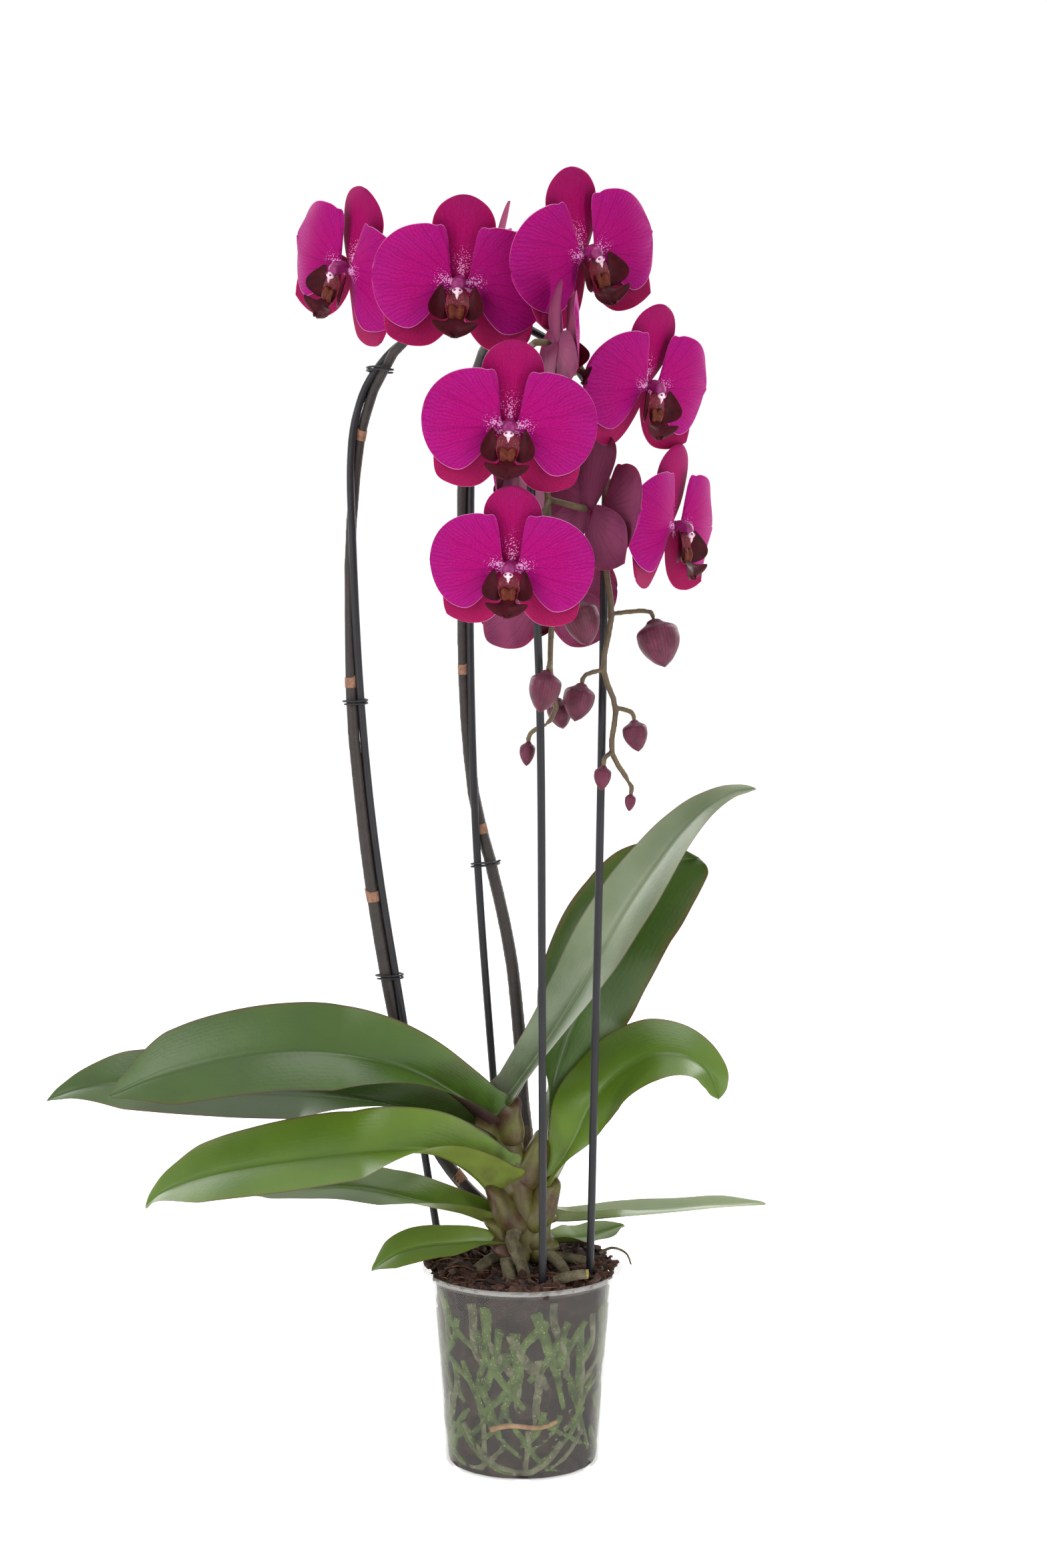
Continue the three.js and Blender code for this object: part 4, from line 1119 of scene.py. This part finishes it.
class ORCHID_OT_roots(bpy.types.Operator):
    """Makes the aerial roots and the roots pressed against the inside of the pot"""
    bl_idname = "orchid.roots"
    bl_label = "Roots"

    def execute(self, context):
        sizes = context.scene.orchid_pot
        dry = plain_live_material("orchid root, dry velamen", linear(sizes.root), linear("#443E28"), 6,
                                  0.85, 0.9, spot=linear("#7C7660"), spot_mm=1.8)
        moist = plain_live_material("orchid root, moist", linear(sizes.moist), linear("#26340F"), 11,
                                    0.6, 0.9, spot=linear("#B8C49A"), spot_mm=1.6)
        pale = plain_live_material("orchid root, grey velamen", linear("#3F3E2C"), linear("#75765A"), 8,
                                   0.7, 0.9, spot=linear("#8E9478"), spot_mm=2.6)
        old = plain_live_material("dead root, brown", linear("#8A6A48"), linear("#B08E68"), 6, 0.8, 0.9)
        for i, node in enumerate(AERIAL_ROOTS):
            line, size = spine_of(node, 7)
            run, _ = lengths_along(line)
            size = np.array([size[0] * 0.9, *size, size[-1] * 0.5]) * AERIAL_FILL
            settle(stem(f"aerial_{node}", line, lambda t, run=run, size=size: curve_through(run, size, t),
                        24, 48, dry, rough=0.06, seed=i * 1.9), "orchid_root", node)
        self.stub_and_tip(dry)
        self.roots_on_wall(sizes, moist, pale, old)
        return {"FINISHED"}

    def stub_and_tip(self, dry):
        """The cut, dried stub lying on the bark and the thin root tip that hangs over the rim"""
        cut = plain_live_material("cut root, yellow-green", linear("#A49A4C"), linear("#7E6E38"), 2,
                                  0.7, 0.5)
        stub = np.array([[19, -37, 0.5], [26, -39, 3.6], [33, -39.5, 5.2], [38, -39.5, 5.6]]) * MM
        end = np.array([[37.4, -39.5, 5.6], [38.6, -39.5, 5.7], [39, -39.5, 5.7]]) * MM
        tip = np.array([[46, -5, 9], [54, -8, 13], [62, -10, 10], [65, -10, 3]]) * MM
        for line in (stub, end, tip):
            line[:, 2] += POT_TOP
        pieces = [stem("stub", stub, lambda t: 3.3 * MM * (1 - 0.15 * t), 20, 24, dry, rough=0.08),
                  stem("stub_cut", end, lambda t: 2.7 * MM + 0 * t, 20, 12, cut),
                  stem("rim_tip", tip, lambda t: 1.0 * MM * (1 - 0.5 * t), 10, 24, dry, rough=0.06)]
        settle(joined("root_stub_and_rim_tip", pieces), "orchid_root")

    def roots_on_wall(self, sizes, moist, pale, old):
        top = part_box("pot")[1].z
        rng = np.random.default_rng(5)
        made, dead = [], []
        for i in range(WALL_ROOTS):
            turn = 2 * math.pi * (i * 5 % WALL_ROOTS + rng.uniform(-0.4, 0.4)) / WALL_ROOTS
            thick = rng.choice([3.0, 3.8, 4.8]) * rng.uniform(0.9, 1.1) * MM
            z = (rng.uniform(0.76, 0.95), rng.uniform(0.48, 0.76), rng.uniform(0.22, 0.46))[i % 3] * top
            long = rng.uniform(0.26, 0.56) * top
            lean = rng.normal(0, 0.38) * (1.7 if i % 3 == 2 else 1)
            bend, pitch = rng.uniform(0.02, 0.09), rng.uniform(3, 7)
            f = np.linspace(0, 1, 10)
            h = np.maximum(z - long * f * (1 - 0.25 * f), thick + sizes.floor + 0.5 * MM)
            angle = turn + lean * f + bend * np.sin(pitch * f + i)
            r = pot_radius(h) - sizes.wall - 0.15 * MM - thick * (1 + (i % 3) * 0.12)
            made.append(stem(f"wall_root_{i}", round_pot(angle, r, h),
                             lambda t, thick=thick: thick * (1 - 0.22 * t**3), 14, 30,
                             moist if i % 4 else pale, rough=0.05, seed=i))
        for i in range(FOOT_ROOTS):
            # at the foot they turn and run round the pot
            turn, z, way = rng.uniform(0, 2 * math.pi), rng.uniform(5, 25) * MM, rng.choice([-1, 1])
            thick, sweep_by = rng.uniform(2.3, 3.6) * MM, rng.uniform(0.5, 1.1)
            f = np.linspace(0, 1, 9)
            h = z * (1 - 0.7 * np.sin(math.pi * f / 2)) + 14 * MM * (1 - f) ** 3
            h = np.maximum(h, thick + 1.4 * MM)
            r = pot_radius(h) - sizes.wall - 0.2 * MM - thick * (1 + (i % 3) * 0.12)
            made.append(stem(f"foot_root_{i}", round_pot(turn + way * sweep_by * f, r, h),
                             lambda t, thick=thick: thick * (1 - 0.25 * t**3), 14, 26,
                             moist if i % 4 else pale, rough=0.05, seed=i))
        for i, (turn, z, sweep_by) in enumerate(((-2.0, 30, 0.9), (0.6, 64, 1.0))):
            f = np.linspace(0, 1, 9)
            h = (z + 6 * f + 2 * np.sin(6 * f)) * MM
            line = round_pot(turn + sweep_by * f, pot_radius(h) - sizes.wall - 1.9 * MM, h)
            dead.append(stem(f"dead_root_{i}", line, lambda t: 1.9 * MM * (1 - 0.3 * t), 12, 30, old,
                             rough=0.1, seed=i))
        settle(joined("roots_in_pot", made), "orchid_root", "wall_roots")
        settle(joined("dead_roots_in_pot", dead), "orchid_root")


# ---- flowers ------------------------------------------------------------------------
def flower_frame(number):
    """The place, the three directions and the scale of a CAD flower, from its two nodes."""
    tepals, _ = merged(f"flower_{number}_tepals")
    lip, _ = merged(f"flower_{number}_lip")
    mean = tepals.mean(0)
    lip_way = lip.mean(0) - mean
    _, _, axes = np.linalg.svd(tepals - mean)
    face = axes[2] * np.sign(axes[2] @ lip_way)

    def triad(a, b):
        a = unit(a)
        c = unit(np.cross(a, b))
        return np.stack([a, c, np.cross(a, c)], 1)

    turn = triad(face, lip_way) @ triad(FLOWER_FACE_WAY, FLOWER_LIP_WAY).T
    scale = np.linalg.norm(lip_way) / np.linalg.norm(FLOWER_LIP_WAY * MM)
    return mean - turn @ FLOWER_MEAN * MM * scale, turn, scale


# Outlines at steps of a half turn from base to tip, as shares of the reach.
PETAL_STEPS = [0, 0.125, 0.2, 0.25, 0.375, 0.5, 0.625, 0.75, 0.875, 1]
PETAL_TOP = [0.04, 0.05, 0.1, 0.47, 0.615, 0.615, 0.55, 0.42, 0.24, 0.03]
PETAL_FOOT = [-0.04, -0.05, -0.06, -0.08, -0.36, -0.53, -0.51, -0.39, -0.2, 0.02]
UPPER_SEPAL = [0.0, 0.1, 0.2, 0.3, 0.36, 0.365, 0.29, 0.15, 0.0]
LOWER_SEPAL = [0.0, 0.11, 0.2, 0.29, 0.36, 0.365, 0.265, 0.12, 0.0]
STEPS = np.linspace(0, 1, 9)


def petal_shape(hand, reach, thickness, ruffle):
    def place(t, across, thick):
        x = (1 - np.cos(math.pi * t)) / 2
        top = curve_through(PETAL_STEPS, PETAL_TOP, t) * reach
        foot = curve_through(PETAL_STEPS, PETAL_FOOT, t) * reach
        open_ = np.hypot(across, thick) > 0.5
        y = (top + foot) / 2 + (top - foot) / 2 * across
        edge = np.abs(across)
        z = 0.7 * MM + 4.0 * MM * np.sin(math.pi * x) - 3.2 * MM * x**2 - 1.8 * MM * edge**2 * x
        z = z + 0.55 * MM * edge**3 * np.sin(7 * x + ruffle) + 0.4 * MM * x**3 * np.sin(8 * across + ruffle)
        crease = -0.35 * MM * np.exp(-(across / 0.05) ** 2) * (1 - x)
        thin = thickness / 2 * (1 - 0.45 * edge**4) * (1.5 - 0.6 * x) * open_
        return np.stack([hand * (0.5 * MM + (reach - 0.5 * MM) * x), y, z + crease + thick * thin], 1)
    return place


def sepal_shape(turn, reach, outline, thickness, ruffle, back):
    c, s = math.cos(math.radians(turn)), math.sin(math.radians(turn))

    def place(t, across, thick):
        y = (1 - np.cos(math.pi * t)) / 2
        half = np.maximum(curve_through(STEPS, outline, t) * reach, 0.3 * MM)
        open_ = np.hypot(across, thick) > 0.5
        x = half * across
        edge = np.abs(across)
        z = -2.4 * MM - 2.2 * MM * np.sin(math.pi * y) + back * y**2 - 1.8 * MM * edge**2 * (1 - 0.5 * y)
        z = z + 0.4 * MM * edge**3 * np.sin(6 * y + ruffle)
        thin = thickness / 2 * (1 - 0.45 * edge**4) * (1.6 - 0.7 * y) * open_
        y = y * reach
        return np.stack([x * c - y * s, x * s + y * c, z + thick * thin], 1)
    return place


def in_flower(place, at, turn, scale):
    def placed(t, across, thick):
        return at + (place(t, across, thick) * scale) @ turn.T
    return placed


class ORCHID_OT_flowers(bpy.types.Operator):
    """Makes the twelve open flowers: sepals, petals, lip and column"""
    bl_idname = "orchid.flowers"
    bl_label = "Flowers"

    def execute(self, context):
        sizes = context.scene.orchid_flower
        face, vein = linear(sizes.face), linear(sizes.vein)
        pale = linear(sizes.pale)
        petal = tepal_material("moth-orchid petal, magenta", face, vein, linear(sizes.violet), pale,
                               19.0, 0.85, 0.26)
        upper = tepal_material("moth-orchid upper sepal", linear("#9C0058"), vein, linear("#860E50"),
                               pale, 25.0, 0.9, 0.12)
        lower = tepal_material("moth-orchid lower sepal, crimson", linear(sizes.sepal),
                               linear("#740634"), linear("#92144F"), pale, 12.0, 0.5, 0.15)
        back = tepal_material("petal back, duller", linear(sizes.back), linear("#561A3A"),
                              linear("#723252"), linear("#9A5C7C"), 0, 0, 0.16)
        lips = [plain_live_material("orchid lip, waxy maroon", linear(sizes.lip), linear("#480616"), 4,
                                    0.45, 0.6, gloss=0.1),
                plain_live_material("lip callus, orange-brown", linear(sizes.callus), linear("#4A1210"),
                                    2.2, 0.5, 0.6, gloss=0.2),
                plain_live_material("lip throat, crimson and flecked", linear("#7A0F2C"),
                                    linear("#5C0A22"), 3, 0.5, 0.6, spot=linear("#C98A70"),
                                    spot_mm=1.2),
                plain_live_material("column, purple-pink", linear("#961E6C"), linear("#6E1050"), 4,
                                    0.42, 0.6),
                plain_live_material("pollen cap, pearly", linear(sizes.cap), linear("#D8A8C4"), 3, 0.4,
                                    0.6)]
        for n in range(1, FLOWERS + 1):
            at, turn, scale = flower_frame(n)
            self.tepals(n, at, turn, scale, sizes, petal, upper, lower, back)
            lip = make_lip(n, at, turn, scale, lips)
            settle(lip, "lip", f"flower_{n}_lip")
        return {"FINISHED"}

    def tepals(self, n, at, turn, scale, sizes, petal, upper, lower, back):
        reach, tall, thin = sizes.petal_reach, sizes.sepal_reach, sizes.thickness
        shapes = {
            "sepal_upper": (sepal_shape(0, tall, UPPER_SEPAL, thin, n, 2.0 * MM), upper),
            "sepal_lower_left": (sepal_shape(129, tall * 1.04, LOWER_SEPAL, thin, n + 1, 2.4 * MM), lower),
            "sepal_lower_right": (sepal_shape(-129, tall * 1.04, LOWER_SEPAL, thin, n + 2, 2.4 * MM), lower),
            "petal_left": (petal_shape(-1, reach, thin, n + 3), petal),
            "petal_right": (petal_shape(1, reach, thin, n + 4), petal),
        }
        for name, (shape, skin) in shapes.items():
            piece = grown(f"flower_{n}_{name}", 48, 44, in_flower(shape, at, turn, scale), [skin, back],
                          turn[:, 2])
            fan_map(piece, at, turn, scale, name)
            settle(piece, "petals", f"flower_{n}_tepals")


def fan_map(piece, at, turn, scale, name):
    """UV map "fan": angle from the petal's axis in radians, distance from the claw in millimetres."""
    axis = {"sepal_upper": 90, "sepal_lower_left": 219, "sepal_lower_right": -39,
            "petal_left": 176, "petal_right": 4}[name]
    mesh = piece.data
    local = (read(mesh.vertices, "co", np.float32) - at) @ turn / (scale * MM)
    away = np.arctan2(local[:, 1], local[:, 0]) - math.radians(axis)
    away = (away + math.pi) % (2 * math.pi) - math.pi
    corners = read(mesh.loops, "vertex_index", np.int32, 1)
    uv = np.stack([away, np.hypot(local[:, 0], local[:, 1])], 1)[corners]
    mesh.uv_layers.new(name="fan").data.foreach_set("uv", uv.astype(np.float32).ravel())


def make_lip(n, at, turn, scale, materials):
    """The lip's side lobes, throat, callus, anchor-shaped front and tendrils, and the column over it."""
    maroon, callus, throat, column, cap = materials

    def body(name, place, skin, around=28, rings=24):
        return grown(f"{name}_{n}", around, rings, in_flower(place, at, turn, scale), [skin])

    def ball(name, centre, radii, skin, tail=0.0):
        def place(t, across, thick):
            f = np.sin(math.pi * t) * (1 - tail * t)
            return np.stack([centre[0] + across * f * radii[0], centre[1] + (0.5 - t) * 2 * radii[1],
                             centre[2] + thick * f * radii[2]], 1) * MM
        return body(name, place, skin, 20, 16)

    def front(t, across, thick):
        # narrow waist under the callus, then wings that sweep out and turn up, and a blunt tip
        half = curve_through([0, 0.2, 0.36, 0.5, 0.64, 0.8, 0.93, 1],
                             [4.2, 4.8, 7.0, 12.2, 12.6, 8.0, 3.2, 0.8], t)
        open_ = np.hypot(across, thick) > 0.5
        wing = np.abs(across) ** 1.6 * np.exp(-((t - 0.56) / 0.2) ** 2)
        y = -18.2 - 12.2 * t + 4.4 * wing
        z = 9.5 + 6.5 * np.sin(math.pi * 0.7 * t) + 2.2 * wing - 0.9 * np.exp(-(across / 0.12) ** 2) * t
        return np.stack([half * across * open_, y, z + thick * 0.75 * open_ * (1.25 - 0.5 * t)], 1) * MM

    def lobe(hand):
        def place(t, across, thick):
            # an ear beside the column, cupped forward, with a hooked tip
            open_ = np.hypot(across, thick) > 0.5
            middle_x = curve_through([0, 0.25, 0.55, 0.85, 1], [7.0, 9.8, 11.0, 10.2, 9.4], t)
            middle_y = curve_through([0, 0.25, 0.55, 0.85, 1], [-21.0, -17.4, -11.6, -5.0, -1.2], t)
            half = curve_through([0, 0.25, 0.55, 0.85, 1], [3.2, 5.4, 5.4, 2.6, 0.3], t) * open_
            x = middle_x + across * half * 0.86
            y = middle_y - across * half * 0.1 + 0.8 * across**2
            z = 8.2 + 2.6 * np.sin(math.pi * t) + across * half * 0.62 + 1.5 * across**2 * np.sin(math.pi * t)
            return np.stack([hand * x, y, z + thick * 0.6 * open_], 1) * MM
        return place

    def spoon(t, across, thick):
        open_ = np.hypot(across, thick) > 0.5
        half = curve_through([0, 0.3, 0.7, 1], [2.4, 6.2, 6.4, 4.0], t) * open_
        z = 5.4 + 2.4 * t + 2.6 * across**2 + thick * 0.7 * open_
        return np.stack([across * half, -2.5 - 18 * t, z], 1) * MM

    def ridge(t, across, thick):
        # two horns at the top run down into one broad tongue
        open_ = np.hypot(across, thick) > 0.5
        half = curve_through([0, 0.2, 0.6, 1], [3.6, 4.6, 4.2, 3.8], t) * open_
        split = np.exp(-(across / 0.32) ** 2)
        y = -11.4 - 10.2 * t - 2.4 * split * (1 - t) ** 2
        z = 10.0 + 1.6 * np.sin(math.pi * t) + thick * 1.5 * open_ * (1 - 0.5 * split) - 0.7 * split
        return np.stack([across * half, y, z], 1) * MM

    def tendril(hand):
        f = np.linspace(0, 1, 14)
        turn_by = f * 5.2
        x = hand * (0.8 + 2.6 * f + 1.7 * np.sin(turn_by))
        y = -29.4 + 1.6 * np.sin(turn_by * 0.9) + 1.2 * f
        z = 15.0 + 2.2 * np.cos(turn_by) + 1.5 * f
        line = at + (np.stack([x, y, z], 1) * MM * scale) @ turn.T
        return stem(f"tendril_{n}_{hand}", line, lambda t: (0.6 - 0.4 * t) * MM * scale, 8, 24, maroon)

    def stalk(t, across, thick):
        f = curve_through([0, 0.2, 0.6, 0.85, 1], [3.0, 3.6, 3.9, 3.7, 2.2], t)
        f = f * np.minimum(1, 5 * np.sin(math.pi * t))
        y = 0.8 - 2.2 * t**2
        return np.stack([across * f, y + thick * f * 0.95, 1.0 + 11.6 * t], 1) * MM

    parts = [
        body("lip_front", front, maroon, 40, 40),
        body("lip_ear_right", lobe(1), maroon),
        body("lip_ear_left", lobe(-1), maroon),
        body("lip_throat", spoon, throat),
        body("lip_callus", ridge, callus),
        tendril(1),
        tendril(-1),
        body("column", stalk, column, 24, 22),
        ball("cap", (0, -4.0, 12.0), (3.1, 2.4, 1.9), cap),
        ball("beak", (0, -6.6, 12.4), (1.5, 2.4, 1.2), cap, tail=0.7),
        ball("pollen_left", (-1.5, -3.4, 13.2), (0.8, 0.9, 0.8), column),
        ball("pollen_right", (1.5, -3.4, 13.2), (0.8, 0.9, 0.8), column),
    ]
    return joined(f"flower_{n}_lip_and_column", parts)


# ---- buds ---------------------------------------------------------------------------
class ORCHID_OT_buds(bpy.types.Operator):
    """Makes the nine closed buds with the seams where their sepals meet"""
    bl_idname = "orchid.buds"
    bl_label = "Buds"

    def execute(self, context):
        sizes = context.scene.orchid_stem
        skin = plain_live_material("orchid bud, waxy maroon", linear(sizes.bud), linear("#4C1C2C"), 7,
                                   0.45, 0.7, gloss=0.25, ribs=linear("#3A1220"))
        for n in range(1, BUDS + 1):
            node = f"bud_{n}"
            line, size = spine_of(node, 8)
            start, end = sorted(line[[0, -1]], key=lambda p: -p[2])
            way = unit(end - start)
            start = start - way * 1.8 * MM
            long = np.linalg.norm(end - start)
            a = unit(np.cross(way, [0, 1, 0]))
            b = np.cross(way, a)
            widest = size.max()

            def place(t, across, thick, start=start, way=way, a=a, b=b, long=long, widest=widest, n=n):
                y = 0.6 * (1 - np.cos(math.pi * t)) / 2 + 0.4 * t
                angle = np.arctan2(thick, across)
                open_ = np.hypot(across, thick) > 0.5
                swell = curve_through([0, 0.03, 0.1, 0.2, 0.38, 0.58, 0.78, 0.92, 1],
                                      [0, 0.24, 0.42, 0.86, 1.0, 0.92, 0.64, 0.32, 0], y)
                ridges = 1 + 0.06 * np.cos(3 * angle + n) * np.sin(math.pi * t)
                seam = 1 - 0.07 * np.exp(-(((angle + n) % (2 * math.pi / 3)) / 0.1) ** 2) * (y > 0.1)
                r = widest * swell * ridges * seam * open_
                return (start + way * (long * y)[:, None] + a * (r * np.cos(angle))[:, None]
                        + b * (r * np.sin(angle))[:, None])

            settle(grown(f"closed_bud_{n}", 48, 36, place, [skin]), "bud", node)
        return {"FINISHED"}


# ---- stage --------------------------------------------------------------------------
# Each soft light: its name, where it stands, its width and height, in metres, and its power in watts.
LAMPS = [
    ("key", (-1.2, -1.5, 1.5), 0.9, 0.9, 8),
    ("strip_right", (0.9, -1.1, 0.7), 0.12, 1.1, 6),
    ("strip_left", (-0.95, -0.8, 0.8), 0.12, 1.1, 4),
    ("top", (0.1, 0.2, 2.0), 0.9, 0.9, 12),
    ("back_left", (-1.1, 1.2, 1.1), 0.6, 1.2, 12),
    ("back_right", (1.1, 1.2, 1.1), 0.6, 1.2, 16)]
LAMPS_AIM = (0, 0, 0.4)
CAMERA_AT = (0.0008, -1.946, 0.649)
CAMERA_DOWN = 7.05  # degrees below level
CAMERA_LENS = 76.6


class ORCHID_OT_stage(bpy.types.Operator):
    """Sets the pale floor, the soft lights and the camera"""
    bl_idname = "orchid.stage"
    bl_label = "Stage"

    def execute(self, context):
        clear_selection()
        bpy.ops.mesh.primitive_plane_add(size=14, location=(0, 3.0, 0))
        floor = context.object
        floor.name = "pale_floor"
        made, add, shader = finish_of("pale studio floor", Roughness=0.9, Emission_Strength=0.66)
        shader.inputs["Base Color"].default_value = linear("#F4F4F4")
        shader.inputs["Emission Color"].default_value = linear("#FFFFFF")
        floor.data.materials.append(made)
        # the backdrop is brighter than the light it gives, as a lit white background is
        world = bpy.data.worlds.new("studio")
        world.use_nodes = True
        tree = world.node_tree
        add = adder(tree)
        seen = add("LightPath")
        gloss = add("Math", {0: seen.node.outputs["Is Glossy Ray"], 1: 0.5, 2: 0.45},
                    operation="MULTIPLY_ADD")
        power = add("Math", {0: seen, 1: 0.6, 2: gloss}, operation="MULTIPLY_ADD")
        tree.nodes["Background"].inputs["Color"].default_value = (1, 1, 1, 1)
        tree.links.new(power, tree.nodes["Background"].inputs["Strength"])
        context.scene.world = world
        context.scene.view_settings.view_transform = "Standard"
        for name, place, wide, tall, power in LAMPS:
            lamp = bpy.data.lights.new(name, "AREA")
            lamp.shape = "RECTANGLE"
            lamp.size, lamp.size_y = wide, tall
            lamp.energy = power
            light = bpy.data.objects.new(name, lamp)
            light.location = place
            aim = Vector(LAMPS_AIM) - Vector(place)
            light.rotation_euler = aim.to_track_quat("-Z", "Y").to_euler()
            context.scene.collection.objects.link(light)
        view = bpy.data.cameras.new("front")
        view.lens = CAMERA_LENS
        view.sensor_width = 36
        camera = bpy.data.objects.new("front", view)
        camera.location = CAMERA_AT
        camera.rotation_euler = (math.radians(90 - CAMERA_DOWN), 0, 0)
        context.scene.collection.objects.link(camera)
        context.scene.camera = camera
        return {"FINISHED"}


# ---- panel and registration ---------------------------------------------------------
OPERATORS = [ORCHID_OT_pot, ORCHID_OT_bark, ORCHID_OT_roots, ORCHID_OT_crown, ORCHID_OT_leaves,
             ORCHID_OT_stems, ORCHID_OT_stakes, ORCHID_OT_flowers, ORCHID_OT_buds, ORCHID_OT_stage]


class ORCHID_PT_panel(bpy.types.Panel):
    """Sizes, colours and steps of the orchid"""
    bl_idname = "ORCHID_PT_panel"
    bl_label = "Moth Orchid"
    bl_space_type = "VIEW_3D"
    bl_region_type = "UI"
    bl_category = "Orchid"

    def draw(self, context):
        for key, group in SIZE_GROUPS.items():
            box = self.layout.box()
            for name in group.__annotations__:
                box.prop(getattr(context.scene, key), name)
        for step in OPERATORS:
            self.layout.operator(step.bl_idname)


def register():
    for cls in [*SIZE_GROUPS.values(), *OPERATORS, ORCHID_PT_panel]:
        bpy.utils.register_class(cls)
    for key, group in SIZE_GROUPS.items():
        setattr(bpy.types.Scene, key, PointerProperty(type=group))


def unregister():
    for key in SIZE_GROUPS:
        delattr(bpy.types.Scene, key)
    for cls in [ORCHID_PT_panel, *OPERATORS[::-1], *SIZE_GROUPS.values()]:
        bpy.utils.unregister_class(cls)


def main():
    register()
    for step in OPERATORS:
        group, name = step.bl_idname.split(".")
        getattr(getattr(bpy.ops, group), name)()
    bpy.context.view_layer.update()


if __name__ == "__main__":
    main()
